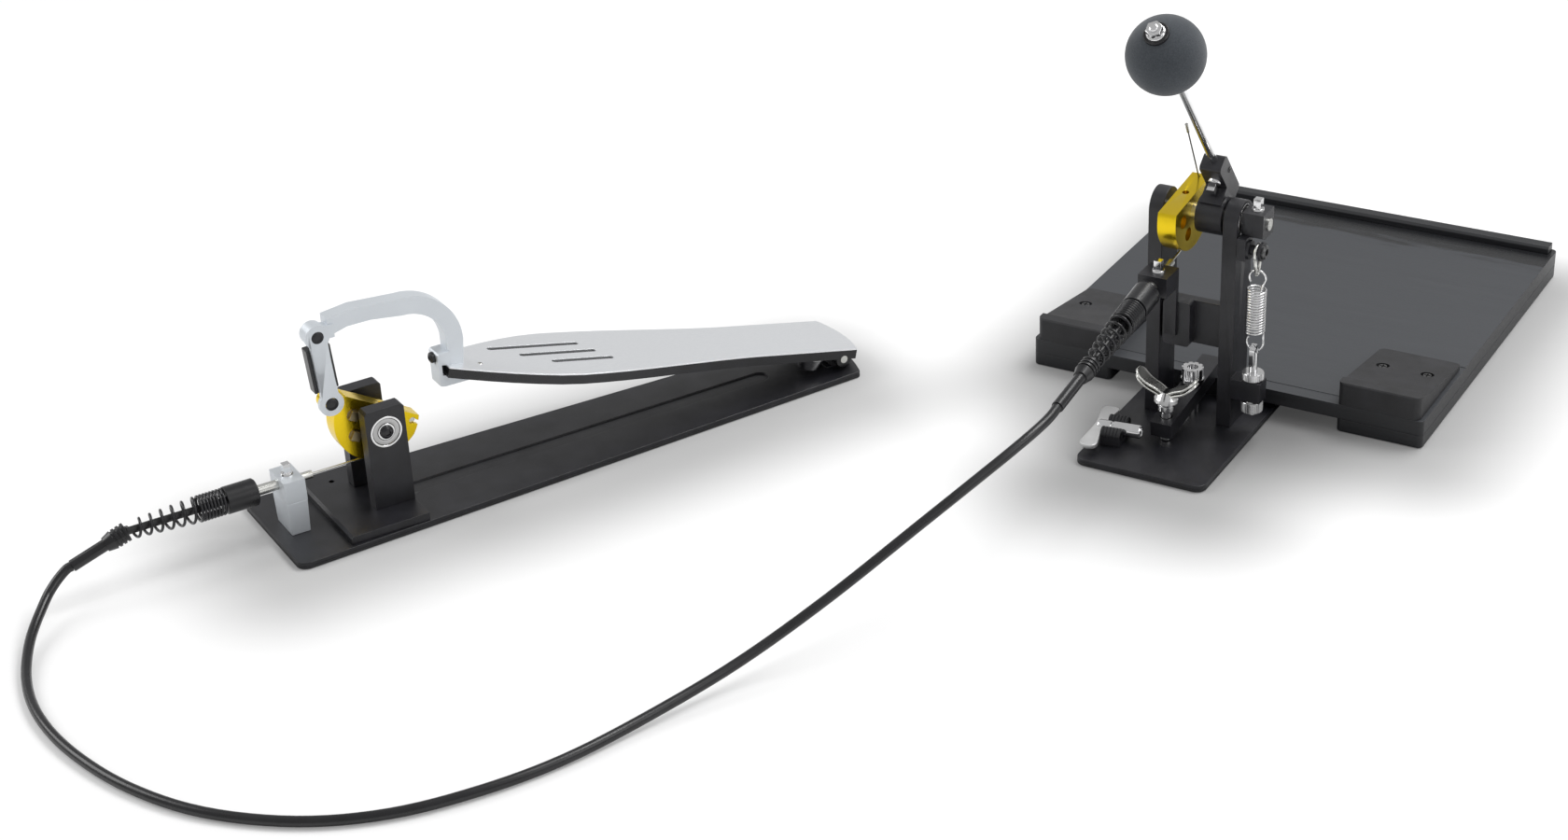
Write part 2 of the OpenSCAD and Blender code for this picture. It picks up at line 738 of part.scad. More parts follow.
// Footboard, drawn level from its hinge with the toe towards -X, then tilted
board_top = 8.2;
board_under = board_top - board_t - cover_t;
widest = 235;
module at_board() {
    at_pedal() translate([heel_x, 0, heel_z]) rotate([0, board_slope, 0]) children();
}
// Half width of the board at a distance in front of its hinge
function ease(t) = t <= 0 ? 0 : t >= 1 ? 1 : t * t * (3 - 2 * t);
function board_half(s) = s < widest
    ? board_heel_w / 2 + (board_w - board_heel_w) / 2 * ease((s - 70) / (widest - 80))
    : board_w / 2 - (board_w - board_toe_w) / 2 * pow((s - widest) / (board_l - widest), 1.5);
board_marks = concat([-board_heel + 5, 0, 60], [for (s = [80 : 17 : board_l - 1]) s], [board_l]);
module board_outline() {
    heel_r = 85;
    near = [for (s = board_marks) [-s, -board_half(s)]];
    far = [for (k = [len(board_marks) - 1 : -1 : 0]) [-board_marks[k], board_half(board_marks[k])]];
    intersection() {
        polygon(concat([[board_heel, -board_heel_w / 2 + 1]], near, far,
            [[board_heel, board_heel_w / 2 - 1]]));
        union() {
            translate([board_heel - heel_r, 0]) circle(heel_r, $fn = 96);
            translate([-board_l - 1, -board_w]) square([board_l + board_heel - 7, 2 * board_w]);
        }
    }
}
// Three plain straight grip slots with round ends, stepped across the board
slot_w = 5;
slots = [[198, -13, 46], [205, 2, 58], [212, 17, 70]];
barrel_r = 5.5;
barrel_half = 20.5;
boss_r = 6.5;
module footboard_core() {
    color("black") at_board() difference() {
        union() {
            translate([0, 0, board_under]) linear_extrude(board_t) board_outline();
            for (s = [-1, 1]) translate([0, s * (barrel_half + gap + 4.4), 0]) rotate([90, 0, 0])
                cylinder(r = boss_r, h = 8.8, center = true);
        }
        rotate([90, 0, 0]) cylinder(r = barrel_r + gap + 0.2, h = 2 * (barrel_half + gap), center = true);
        translate([0, -barrel_half - gap, -boss_r - 2])
            cube([boss_r + 3, 2 * (barrel_half + gap), boss_r + 2]);
        rotate([90, 0, 0]) cylinder(d = heel_pin_d, h = big, center = true);
    }
}
module footboard_cover() {
    color("lightgray") at_board() translate([0, 0, board_top - cover_t]) difference() {
        linear_extrude(cover_t) board_outline();
        for (s = slots) translate([-s[0], s[1], -1]) rotate(180) hull() {
            cylinder(d = slot_w, h = cover_t + 2, $fn = soft_fn);
            translate([s[2], 0, 0]) cylinder(d = slot_w, h = cover_t + 2, $fn = soft_fn);
        }
        translate([-board_l + 26, -8, -1]) cylinder(d = 4, h = cover_t + 2);
    }
}
module heel_pin() {
    color("white") at_board() rotate([90, 0, 0]) cylinder(d = heel_pin_d, h = 60, center = true);
}
stud_x = 24;
module heel_stud() {
    color("silver") at_board() translate([-stud_x, -17, board_under - 10])
        cylinder(d1 = 17, d2 = 26, h = 10);
}
module heel_hinge_block() {
    color("black") at_pedal() translate([heel_x, 0, 0]) difference() {
        union() {
            translate([0, 0, heel_z]) rotate([90, 0, 0])
                cylinder(r = barrel_r, h = 2 * barrel_half, center = true);
            translate([-barrel_r, -barrel_half, top_z])
                cube([2 * barrel_r, 2 * barrel_half, heel_z - top_z]);
            translate([-1.9 * barrel_r, -barrel_half, top_z]) cube([3.8 * barrel_r, 2 * barrel_half, 2]);
        }
        translate([0, 0, heel_z]) rotate([90, 0, 0])
            cylinder(r = heel_pin_d / 2 + run, h = big, center = true);
    }
}

// Swan neck, in the pedal's own X and Z: a bar, an elbow and a leg that grips the board's toe
elbow = [axle_x + 30, pedal_axle_z + 44];
elbow_in = 30.5;
elbow_out = elbow_in + neck_d;
leg_x = elbow[0] + elbow_in;
toe_x = heel_x - board_l * cos(board_slope) - board_top * sin(board_slope);
function board_z(x, up) = heel_z + (heel_x - x) * tan(board_slope) + up / cos(board_slope);
grip_w = neck_w + 3;
grip_t = 2.6;
grip_over = 9;
grip_under = 9;
module neck_shape() {
    bar_end = upper_pin[0] + 10;
    union() {
        // The bar, slightly arched
        polygon([[bar_end, upper_pin[1] + 9.5], [bar_end + 20, elbow[1] + elbow_out + 3],
            [elbow[0] + 0.1, elbow[1] + elbow_out], [elbow[0] + 0.1, elbow[1] + elbow_in],
            [bar_end + 32, upper_pin[1] - 0.5], [bar_end + 14, upper_pin[1] - 0.3],
            [bar_end, upper_pin[1] - 4]]);
        // The elbow
        translate(elbow) intersection() {
            difference() {
                circle(elbow_out, $fn = 96);
                circle(elbow_in, $fn = 96);
            }
            square(elbow_out + 1);
        }
        // The leg down to the board's top
        polygon([[leg_x, elbow[1] + 0.1], [leg_x + neck_d, elbow[1] + 0.1],
            [leg_x + neck_d - 2, board_z(leg_x + neck_d - 2, board_top)],
            [leg_x, board_z(leg_x, board_top)]]);
    }
}
module toe_grip() {
    front = toe_x - grip_t;
    shelf = toe_x + 34;
    shelf_t = 1.5;
    brow = board_z(toe_x, board_top) + grip_over;
    polygon([[front, brow - 1], [front + 1, brow], [leg_x + 1, brow],
        [leg_x + 1, board_z(leg_x + 1, board_top)], [toe_x, board_z(toe_x, board_top)],
        [toe_x, board_z(toe_x, board_under)], [shelf, board_z(shelf, board_under)],
        [shelf, board_z(shelf, board_under) - shelf_t],
        [toe_x + 1, board_z(toe_x, board_under) - grip_under],
        [front, board_z(toe_x, board_under) - grip_under + 1]]);
}
bolt_d = 5;
bolt_z = board_z(toe_x, board_top) + grip_over / 2;
neck_bolt_l = 14;
tongue_far = 1;
module swan_neck() {
    color("lightgray") at_pedal() difference() {
        union() {
            upright(neck_w) neck_shape();
            upright(grip_w) toe_grip();
            // The tongue that the link's upper bolt passes through
            translate([0, (tongue_far - cam_t / 2) / 2, 0]) upright(tongue_far + cam_t / 2) union() {
                translate(upper_pin) circle(d = link_eye_d - 1);
                translate([upper_pin[0], upper_pin[1] - 5]) square([14, 10]);
            }
        }
        translate([upper_pin[0], 0, upper_pin[1]]) rotate([90, 0, 0])
            cylinder(d = link_pin_d + 2 * run, h = big, center = true);
        translate([toe_x - 20, 0, bolt_z]) rotate([0, 90, 0]) cylinder(d = bolt_d, h = 20 + neck_bolt_l);
    }
}
module neck_bolt() {
    color("black") at_pedal() translate([toe_x - grip_t, 0, bolt_z]) {
        rotate([0, -90, 0]) button_head(8, 4);
        rotate([0, 90, 0]) cylinder(d = bolt_d, h = neck_bolt_l);
    }
}

// Cable clamp on the pedal base
clamp_x = 10;
clamp_l = 16;
clamp_w = 27;
clamp_seam = 30;
clamp_over = 6;
clamp_top = wire_z + clamp_over;
module pedal_clamp_base() {
    color("silver") at_pedal() difference() {
        translate([clamp_x + clamp_l / 2, 0, 0]) upright(clamp_w) polygon([
            [-clamp_l / 2 + 1, top_z], [clamp_l / 2 - 1, top_z],
            [clamp_l / 2, clamp_seam], [-clamp_l / 2, clamp_seam]]);
        translate([0, 0, wire_z]) rotate([0, 90, 0]) cylinder(d = ferrule_d, h = big, center = true);
    }
}
module pedal_clamp_cap() {
    color("silver") at_pedal() difference() {
        translate([clamp_x, -clamp_w / 2, clamp_seam]) cube([clamp_l, clamp_w, clamp_top - clamp_seam]);
        translate([0, 0, wire_z]) rotate([0, 90, 0]) cylinder(d = ferrule_d, h = big, center = true);
        translate([clamp_x + clamp_l / 2, 0, wire_z]) cylinder(d = 5, h = big);
    }
}
module ferrule_screws() {
    color("silver") {
        at_pedal() translate([clamp_x + clamp_l / 2, 0, clamp_top])
            square_screw(shank_l = clamp_over - ferrule_d / 2);
        translate([cam_x, hold_y + hold_l / 2, hold_z + hold_over])
            square_screw(shank_l = hold_over - ferrule_d / 2 - gap);
    }
}
module at_both_ends() {
    at_pedal_end() children();
    at_beater_end() children();
}
module cable_ferrules() { color("silver") at_both_ends() ferrule(); }
module cable_sleeves() { color("black") at_both_ends() sleeve(); }
module strain_springs() { color("black") at_both_ends() strain_spring(); }
module cable_caps() {
    color("black") {
        at_pedal_end() cable_cap(pedal_droop, shrink_l);
        at_beater_end() cable_cap(0, long_shrink_l);
    }
}
module cable() { color("black") tube(cable_path, cable_across, cable_d, 10); }

// Beater unit: its plate, posts and shaft
module stand_outline() {
    hull() for (x = [corner_r, stand_w - corner_r], y = [corner_r - stand_front, stand_back - corner_r])
        translate([stand_x + x, y]) circle(corner_r, $fn = soft_fn);
}
module stand_mat() { color("dimgray") linear_extrude(mat_t) stand_outline(); }
anvil_y = deck_y + 3;
module stand_plate() {
    color("black") union() {
        translate([0, 0, mat_t]) linear_extrude(plate_t) stand_outline();
        // The raised bed that the deck is clamped against
        translate([stand_x + 12, anvil_y, top_z])
            cube([stand_w - 24, stand_back - 2 - anvil_y, runner_h - top_z]);
    }
}
stand_post_r = stand_post_d / 2;
left_post_mid = left_post_x - post_t / 2;
right_post_mid = right_post_x + post_t / 2;
module stand_post(mid, side) {
    color("black") translate([mid, 0, 0]) difference() {
        sideways(post_t) union() {
            translate([0, beater_axle_z]) circle(stand_post_r);
            translate([-stand_post_r, top_z]) square([stand_post_d, beater_axle_z - top_z]);
        }
        translate([0, 0, beater_axle_z]) rotate([0, 90, 0]) {
            cylinder(d = axle_d + 5, h = big, center = true);
            translate([0, 0, side * (post_t - bearing_w + 1) / 2])
                cylinder(d = bearing_d, h = bearing_w + 1, center = true);
        }
    }
}
module left_post() { stand_post(left_post_mid, -1); }
ear_y = -11;
ear_z = 31;
ear_h = 16;
spring_x = 38;
post_out = right_post_x + post_t;
module right_post() {
    color("black") union() {
        stand_post(right_post_mid, 1);
        // The ear that carries the return spring's rod
        difference() {
            translate([post_out, ear_y - 6.5, ear_z]) cube([spring_x - post_out + 8, 13, ear_h]);
            translate([spring_x, ear_y, 0]) cylinder(r = tension_d / 2 + run, h = big);
        }
    }
}
module stand_bearings() {
    color("silver") translate([0, 0, beater_axle_z]) rotate([0, 90, 0]) {
        translate([0, 0, left_post_x - post_t]) ball_bearing();
        translate([0, 0, post_out - bearing_w]) ball_bearing();
    }
}
cross_y = -10;
module cross_plate() {
    color("black") translate([left_post_x, cross_y, cross_z])
        cube([right_post_x - left_post_x, cross_t, cross_h]);
}

// Cable anchor: a slide block on the cross plate, an arm and the block that clamps the ferrule
slide_w = 21;
slide_x = -30;
slide_t = 9;
arm_t = 8.5;
hold_w = 22;
hold_l = 22;
hold_over = 6;
hold_deep = 9;
hold_y = anchor_y + 8;
hold_z = anchor_z + (hold_y + hold_l / 2 - anchor_y) * tan(wire_rise);
module cable_anchor() {
    slide_y = cross_y - slide_t;
    hold_under = hold_z - hold_deep;
    color("black") difference() {
        union() {
            translate([slide_x, slide_y, cross_z]) rotate([90, 0, 0]) translate([0, 0, -slide_t])
                rounded_box([slide_w, cross_h + 1, slide_t], 3);
            // The arm, a plate behind the clamp block and under the wire
            translate([cam_x, 0, 0]) sideways(arm_t) polygon([
                [hold_y + hold_l - 1, hold_under], [hold_y + hold_l - 1, hold_z - 4],
                [slide_y + 1, hold_z - 4], [slide_y + 1, cross_z + 8], [slide_y - 3, cross_z + 9],
                [slide_y - 3, hold_under - 5], [slide_y - 8, hold_under]]);
            translate([cam_x - hold_w / 2, hold_y, hold_under])
                cube([hold_w, hold_l, hold_deep + hold_over]);
        }
        at_beater_end() rotate([0, 90, 0]) cylinder(d = ferrule_d, h = ferrule_l + 2);
        translate([cam_x, hold_y + hold_l / 2, hold_z]) cylinder(d = 5, h = big);
    }
}

// Beater shaft, with its cam, hub, ball and rocker
axle_left = left_post_x - post_t;
rocker_x = post_out + 1.5;
rocker_w = 16;
axle_right = rocker_x + rocker_w + 1.5;
module beater_axle() {
    color("silver") translate([0, 0, beater_axle_z]) rotate([0, 90, 0]) {
        translate([0, 0, axle_left]) cylinder(d = axle_d, h = axle_right - axle_left);
        translate([0, 0, cam_x + cam_t / 2]) cylinder(d = axle_d + 3, h = -hub_l / 2 - cam_x - cam_t / 2);
    }
}
module at_beater_cam() {
    translate([cam_x, 0, beater_axle_z]) rotate([beater_cam_turn, 0, 0]) rotate(90) children();
}
tail_l = 62;
tail_lean = 21;
module beater_cam() {
    color("goldenrod") at_beater_cam() difference() {
        cam_shape();
        // The hole that the wire's free tail leaves by
        translate([polar(tip_r, tip_angle)[0], 0, polar(tip_r, tip_angle)[1]])
            rotate([0, beater_cam_turn - tail_lean, 0]) cylinder(d = wire_d + gap, h = cam_r);
    }
}
module beater_wire_wrap() {
    color("silver") {
        at_beater_cam() {
            wire_wrap(beater_travel - 89 + wire_rise - beater_cam_turn);
            nipple();
        }
        // The wire's free tail stands up from the tip of the cam
        at_beater_cam() translate([polar(tip_r, tip_angle)[0], 0, polar(tip_r, tip_angle)[1]])
            rotate([0, beater_cam_turn - tail_lean, 0]) {
                cylinder(d = wire_d - 0.4, h = tail_l, $fn = 12);
                translate([0, 0, tail_l - 6]) cylinder(d = wire_d + 1, h = 6, $fn = 16);
            }
    }
}
// The hub's frame: Z along the rod, towards the ball, and the rod at its offset
module at_rod() {
    translate([0, 0, beater_axle_z]) rotate([beater_lean, 0, 0]) translate([0, rod_offset, 0]) children();
}
boss_w = 16;
boss_d = 17;
boss_back = 5.5;
boss_from = -7;
boss_to = 41;
module beater_hub() {
    color("black") difference() {
        union() {
            translate([0, 0, beater_axle_z]) rotate([0, 90, 0])
                cylinder(d = hub_d, h = hub_l, center = true);
            at_rod() hull() for (z = [boss_from + 5, boss_to - 5])
                for (y = [-boss_d / 2 + 3, boss_back - 3])
                    translate([0, y, z]) rotate([0, 90, 0])
                        cylinder(r = 3, h = boss_w, center = true, $fn = soft_fn);
            at_rod() translate([-boss_w / 2, -rod_offset, boss_from + 3]) cube([boss_w, rod_offset, 20]);
        }
        translate([0, 0, beater_axle_z]) rotate([0, 90, 0]) cylinder(d = axle_d, h = big, center = true);
        at_rod() translate([0, 0, boss_from - 20]) cylinder(r = rod_d / 2 + run, h = big);
        at_rod() translate([0, -boss_d / 2 - 1, 22]) rotate([90, 0, 0])
            cylinder(d = 5, h = 20, center = true);
    }
}
rocker_half = 10;
module hub_screws() {
    color("silver") {
        at_rod() translate([0, -boss_d / 2, 22]) rotate([90, 0, 0])
            square_screw(shank_l = boss_d / 2 - rod_d / 2 - 0.2);
        translate([rocker_x + rocker_w / 2, 0, beater_axle_z + rocker_half])
            square_screw(shank_l = rocker_half - axle_r);
    }
}
rod_from = -12;
module beater_rod() {
    rod_top = ball_reach + ball_d / 2 + 7;
    color("silver") at_rod() {
        translate([0, 0, rod_from]) cylinder(d = rod_d, h = rod_top - rod_from);
        translate([0, 0, ball_reach + ball_d / 2 - 1.5]) cylinder(d = 11, h = 6, $fn = 6);
    }
}
module beater_ball() {
    color("dimgray") at_rod() difference() {
        translate([0, 0, ball_reach]) sphere(d = ball_d, $fn = 96);
        cylinder(d = rod_d, h = big);
        translate([0, 0, ball_reach + ball_d / 2 - 1.5]) cylinder(d = 15, h = 10);
    }
}
// The rocker clamps the shaft's end, and its roller carries the spring's hook
roller_d = 14;
roller_w = 9;
roller_y = ear_y;
roller_z = beater_axle_z - sqrt(rocker_r * rocker_r - roller_y * roller_y);
arm_w = 6.5;
groove_d = 7.4;
hook_slack = 1.5;
hook_bore = groove_d + 2 * (hook_slack + gap);
hook_rim = 1.8;
module rocker() {
    color("black") difference() {
        union() {
            difference() {
                translate([rocker_x, -rocker_half, beater_axle_z - rocker_half])
                    cube([rocker_w, 2 * rocker_half, 2 * rocker_half]);
                // Relief round the roller, so that the hook's loop clears the block
                translate([rocker_x + arm_w, roller_y, roller_z]) rotate([0, 90, 0])
                    cylinder(r = hook_bore / 2 + hook_rim + hook_slack + gap, h = rocker_w);
            }
            translate([rocker_x, roller_y - 7, roller_z - 7])
                cube([arm_w, 14, beater_axle_z - roller_z]);
            translate([rocker_x + arm_w, roller_y, roller_z]) rotate([0, 90, 0]) {
                cylinder(d = groove_d, h = roller_w + 2);
                cylinder(d = roller_d, h = 2);
                translate([0, 0, roller_w]) cylinder(d = roller_d, h = 2);
            }
        }
        translate([0, 0, beater_axle_z]) rotate([0, 90, 0]) cylinder(d = axle_d, h = big, center = true);
        translate([rocker_x + rocker_w / 2, 0, beater_axle_z]) cylinder(d = 5, h = big);
    }
}
// A flat hook hangs on the roller, and the spring's upper eye hangs in its lower end
hook_x = spring_x;
hook_w = 3;
spring_foot = roller_z - 64.5;
spring_head = spring_foot + spring_l + 2 * eye_r + 1.6 + 0.4;
module spring_hook() {
    // It hangs a little loose, so that it can follow the roller's arc
    low = spring_head - roller_z;
    color("silver") translate([hook_x, roller_y, roller_z]) difference() {
        sideways(hook_w) union() {
            difference() {
                hull() {
                    translate([0, -hook_slack]) circle(r = hook_bore / 2 + hook_rim);
                    translate([0, low]) circle(d = 7, $fn = soft_fn);
                }
                hull() {
                    translate([0, -hook_slack]) circle(d = hook_bore);
                    translate([0, low + 6.5]) circle(d = 4, $fn = soft_fn);
                }
            }
        }
        translate([0, 0, low]) rotate([0, 90, 0]) cylinder(d = 3, h = big, center = true);
    }
}
module return_spring() {
    color("silver") translate([spring_x, ear_y, spring_foot])
        tube(spring_path, spring_across, spring_wire, 6);
}
rod_eye_z = spring_foot - eye_r - 1.6 - eye_r + 0.8;
nut_h = 9;
module tension_rod() {
    color("silver") translate([spring_x, ear_y, 0]) difference() {
        union() {
            translate([0, 0, 19]) cylinder(d = tension_d, h = rod_eye_z - 19 - 4);
            translate([-2, -4.5, rod_eye_z - 13]) cube([4, 9, 11]);
            translate([0, 0, rod_eye_z - 2]) rotate([0, 90, 0]) cylinder(d = 9, h = 4, center = true);
        }
        translate([0, 0, rod_eye_z - 1]) rotate([0, 90, 0]) cylinder(d = 4, h = 20, center = true);
    }
}
module knurled_nut() {
    difference() {
        union() {
            cylinder(d = nut_d, h = nut_h - 3);
            cylinder(d = nut_d - 4, h = nut_h);
        }
        translate([0, 0, -1]) cylinder(r = tension_d / 2 + run, h = nut_h + 2);
    }
}
module knurled_nuts() {
    color("silver") translate([spring_x, ear_y, 0]) {
        translate([0, 0, ear_z + ear_h]) knurled_nut();
        translate([0, 0, ear_z]) rotate([180, 0, 0]) knurled_nut();
    }
}

// Clamp: the lever rocks under the pivot screw and its far end presses on the deck
deck_top = runner_h + deck_t;
inlay = 0.5;
seat_z = deck_top - inlay;
pivot_y = -3;
wing_y = -50;
lever_from = -60;
lever_to = deck_y + pad_lip_l - 1;
lever_pivot_z = seat_z + gap + lever_t / 2 / cos(lever_tilt) - (lever_to - pivot_y) * tan(lever_tilt);
module at_lever() {
    translate([lever_x, pivot_y, lever_pivot_z]) rotate([lever_tilt, 0, 0]) children();
}
lever_near = (lever_from - pivot_y) / cos(lever_tilt);
lever_far = (lever_to - pivot_y) / cos(lever_tilt);
module clamp_lever() {
    color("black") difference() {
        at_lever() translate([-lever_w / 2, lever_near, -lever_t / 2])
            cube([lever_w, lever_far - lever_near, lever_t]);
        translate([lever_x, pivot_y, 0]) cylinder(d = 12.5, h = big);
        translate([lever_x, wing_y, 0]) cylinder(r = wing_d / 2 + 0.5, h = big);
        // The far end is cut level where it lies on the deck
        translate([lever_x - lever_w, deck_y - 2, seat_z + gap - lever_t])
            cube([2 * lever_w, lever_to, lever_t]);
    }
}
pivot_seat = lever_pivot_z + (lever_t / 2) / cos(lever_tilt) + pivot_head_d / 2 * tan(lever_tilt) + 0.5;
pivot_head_h = 11;
ring_h = 2.5;
module pivot_screw() {
    notches = 10;
    notch = 1.8;
    color("silver") translate([lever_x, pivot_y, 0]) difference() {
        union() {
            translate([0, 0, top_z]) cylinder(d = 10, h = pivot_seat - top_z);
            translate([0, 0, pivot_seat]) cylinder(d = pivot_head_d + 1, h = ring_h);
            translate([0, 0, pivot_seat]) cylinder(d = pivot_head_d, h = pivot_head_h);
        }
        translate([0, 0, pivot_seat + pivot_head_h - 5]) cylinder(d = pivot_head_d / 2, h = pivot_head_h);
        // Ten deep notches round the head
        for (k = [0 : notches - 1]) rotate(360 * k / notches)
            translate([pivot_head_d / 2 - 1.2, -notch / 2, pivot_seat + ring_h + 1])
                cube([pivot_head_d, notch, pivot_head_h]);
    }
}
collar_z = 29;
module wing_screw() {
    wing_t = 5;
    color("silver") translate([lever_x, wing_y, 0]) {
        translate([0, 0, top_z + gap]) cylinder(d = wing_d, h = collar_z - top_z + 1);
        translate([0, 0, collar_z]) cylinder(d1 = 12, d2 = 15, h = 9);
        translate([0, 0, collar_z + 8]) upright(wing_t) polygon([
            [-7, 0], [7, 0], [wing_span / 2 - 2, 12], [wing_span / 2, 18], [wing_span / 2 - 2, 23],
            [wing_span / 2 - 7, 21], [7, 9], [-7, 9], [7 - wing_span / 2, 21],
            [2 - wing_span / 2, 23], [-wing_span / 2, 18], [2 - wing_span / 2, 12]]);
    }
}

// Drum key, lying in a clip at the plate's left edge
key_x = stand_x + 3;
key_y = -66;
key_z = top_z + 8;
key_turn = 7;
module drum_key() {
    color("silver") translate([key_x, key_y, key_z]) rotate([0, 90, key_turn]) difference() {
        union() {
            cylinder(d = key_d, h = key_l);
            translate([-6, -key_handle_l / 2, -4]) cube([12, key_handle_l, 4]);
        }
        translate([0, 0, key_l - 10]) rotate(45) cylinder(d = 8, h = 12, $fn = 4);
    }
}

// One clip holds the key's barrel between two round jaws
clip_from = 4;
clip_l = 15;
jaw_r = 4.5;
module key_clips() {
    jaw_y = key_d / 2 + run + jaw_r;
    color("black") translate([key_x, key_y, key_z]) rotate(key_turn) translate([clip_from, 0, 0]) {
        translate([0, -jaw_y, top_z - key_z])
            cube([clip_l, 2 * jaw_y, key_z - top_z - key_d / 2 - run]);
        for (s = [-1, 1]) translate([0, s * jaw_y, 0]) {
            rotate([0, 90, 0]) cylinder(r = jaw_r, h = clip_l);
            translate([0, -jaw_r, top_z - key_z]) cube([clip_l, 2 * jaw_r, key_z - top_z]);
        }
    }
}

// Platform: a deck on two runners, a rail at its rear and a rubber pad at each front corner
module platform_deck() {
    edge = deck_w / 2 + 1;
    color("black") difference() {
        translate([-deck_w / 2, deck_y, runner_h]) rounded_box([deck_w, deck_l, deck_t], 4);
        // Shallow seats for the pads, the rail and the clamp lever
        for (s = [0, 1]) mirror([s, 0, 0]) translate([pad_x - gap, deck_y - 1, seat_z])
            cube([edge - pad_x, pad_l + 1 + gap, deck_t]);
        translate([-edge, deck_y + deck_l - rail_l - gap, seat_z]) cube([2 * edge, rail_l + 1, deck_t]);
        translate([-pad_x - 1, deck_y - 1, seat_z]) cube([2 * pad_x + 2, pad_lip_l + 1, deck_t]);
    }
}
module platform_runners() {
    color("black") for (s = [0, 1]) mirror([s, 0, 0])
        translate([deck_w / 2 - runner_w, deck_y, 0])
            rounded_box([runner_w, deck_l, runner_h], 4);
}
module rear_rail() {
    bevel = 2;
    color("black") translate([0, deck_y + deck_l - rail_l, seat_z]) sideways(deck_w - 8)
        polygon([[0, 0], [rail_l - 1, 0], [rail_l - 1, rail_h], [bevel, rail_h], [0, rail_h - bevel]]);
}
pad_x = deck_w / 2 - 3 - pad_w;
pad_slope = atan((pad_t - pad_thin) / (pad_l - pad_lip_l));
pad_screw_y = 57;
function pad_z(y) = pad_t - (y - pad_lip_l) * tan(pad_slope);
module corner_pads() {
    lip_step = 2.5;
    color("dimgray") for (s = [0, 1]) mirror([s, 0, 0])
        translate([pad_x, deck_y, seat_z]) difference() {
            intersection() {
                translate([pad_w / 2, 0, 0]) sideways(pad_w) polygon([
                    [0, 0], [pad_l, 0], [pad_l, pad_thin], [pad_lip_l, pad_t],
                    [pad_lip_l - 1, pad_lip_h - lip_step], [pad_lip_l - 2, pad_lip_h],
                    [1, pad_lip_h], [0, pad_lip_h - 1]]);
                rounded_box([pad_w, pad_l, big], 5);
            }
            for (x = pad_screw_x) translate([x, pad_screw_y, -1]) cylinder(d = 4.5, h = big);
            for (x = pad_screw_x) translate([x, pad_screw_y, pad_z(pad_screw_y) - 3])
                cylinder(d = 10, h = big);
        }
}
pad_screw_x = [14, 48];
module pad_screws() {
    color("silver") for (s = [0, 1]) mirror([s, 0, 0]) for (x = pad_screw_x)
        translate([pad_x + x, deck_y + pad_screw_y, seat_z + pad_z(pad_screw_y) - 3]) difference() {
            union() {
                cylinder(d1 = 9, d2 = 6, h = 2.4);
                translate([0, 0, 3 - pad_z(pad_screw_y)]) cylinder(d = 4.5, h = pad_z(pad_screw_y) - 3);
            }
            for (a = [0, 90]) rotate(a) translate([-2.4, -0.5, 1.2]) cube([4.8, 1, 3]);
        }
}

pedal_mat();
pedal_base_plate();
tower_foot();
near_post();
far_post();
pedal_bearings();
heel_hinge_block();
pedal_clamp_base();
pedal_clamp_cap();
ferrule_screws();
cable_ferrules();
cable_sleeves();
strain_springs();
cable_caps();
pull_wires();
cable();
pedal_axle();
pedal_axle_screws();
pedal_cam();
cam_bolts();
pedal_wire_wrap();
lower_link_bolt();
link_plate();
link_core();
upper_link_bolt();
footboard_core();
footboard_cover();
swan_neck();
neck_bolt();
heel_pin();
heel_stud();
stand_mat();
stand_plate();
left_post();
right_post();
stand_bearings();
cross_plate();
cable_anchor();
beater_axle();
beater_cam();
beater_wire_wrap();
beater_hub();
hub_screws();
beater_rod();
beater_ball();
rocker();
spring_hook();
return_spring();
tension_rod();
knurled_nuts();
clamp_lever();
pivot_screw();
wing_screw();
drum_key();
key_clips();
platform_deck();
platform_runners();
rear_rail();
corner_pads();
pad_screws();
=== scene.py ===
# %% [markdown]
# # A cable driven drum pedal
# The imported model gives every machined piece in its place, in metres. This script
# dresses it: the edges are eased, the wound and sheathed pieces are made again with
# more detail, and each surface gets a finish built from noise and bump.

# %% Load the imported model
import json
from math import cos, pi, radians, sin, sqrt, tan

import bmesh
import bpy
from mathutils import Matrix, Vector


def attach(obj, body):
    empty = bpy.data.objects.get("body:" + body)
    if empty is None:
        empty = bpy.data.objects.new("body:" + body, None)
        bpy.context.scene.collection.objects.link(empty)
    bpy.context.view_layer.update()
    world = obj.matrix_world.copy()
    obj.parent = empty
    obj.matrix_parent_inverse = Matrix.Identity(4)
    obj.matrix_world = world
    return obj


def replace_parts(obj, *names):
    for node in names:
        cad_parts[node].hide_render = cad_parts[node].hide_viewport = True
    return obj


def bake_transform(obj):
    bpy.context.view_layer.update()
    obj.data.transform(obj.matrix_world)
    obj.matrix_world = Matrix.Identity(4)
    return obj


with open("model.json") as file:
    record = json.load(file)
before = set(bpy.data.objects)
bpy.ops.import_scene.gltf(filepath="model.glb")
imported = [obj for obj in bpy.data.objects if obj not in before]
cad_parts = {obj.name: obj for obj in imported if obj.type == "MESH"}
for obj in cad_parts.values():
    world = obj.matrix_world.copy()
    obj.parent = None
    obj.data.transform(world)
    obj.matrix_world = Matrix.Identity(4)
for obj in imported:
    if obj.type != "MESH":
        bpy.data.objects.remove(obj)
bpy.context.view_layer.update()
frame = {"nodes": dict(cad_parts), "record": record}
nodes = frame["nodes"]

# %% [markdown]
# ## Camera
# The photograph is taken from the front right, looking down on both units. One camera
# with a long lens reproduces the edges of both base plates. The picture is tilted a
# little, so the camera's right and up directions are both rolled by the same angle.

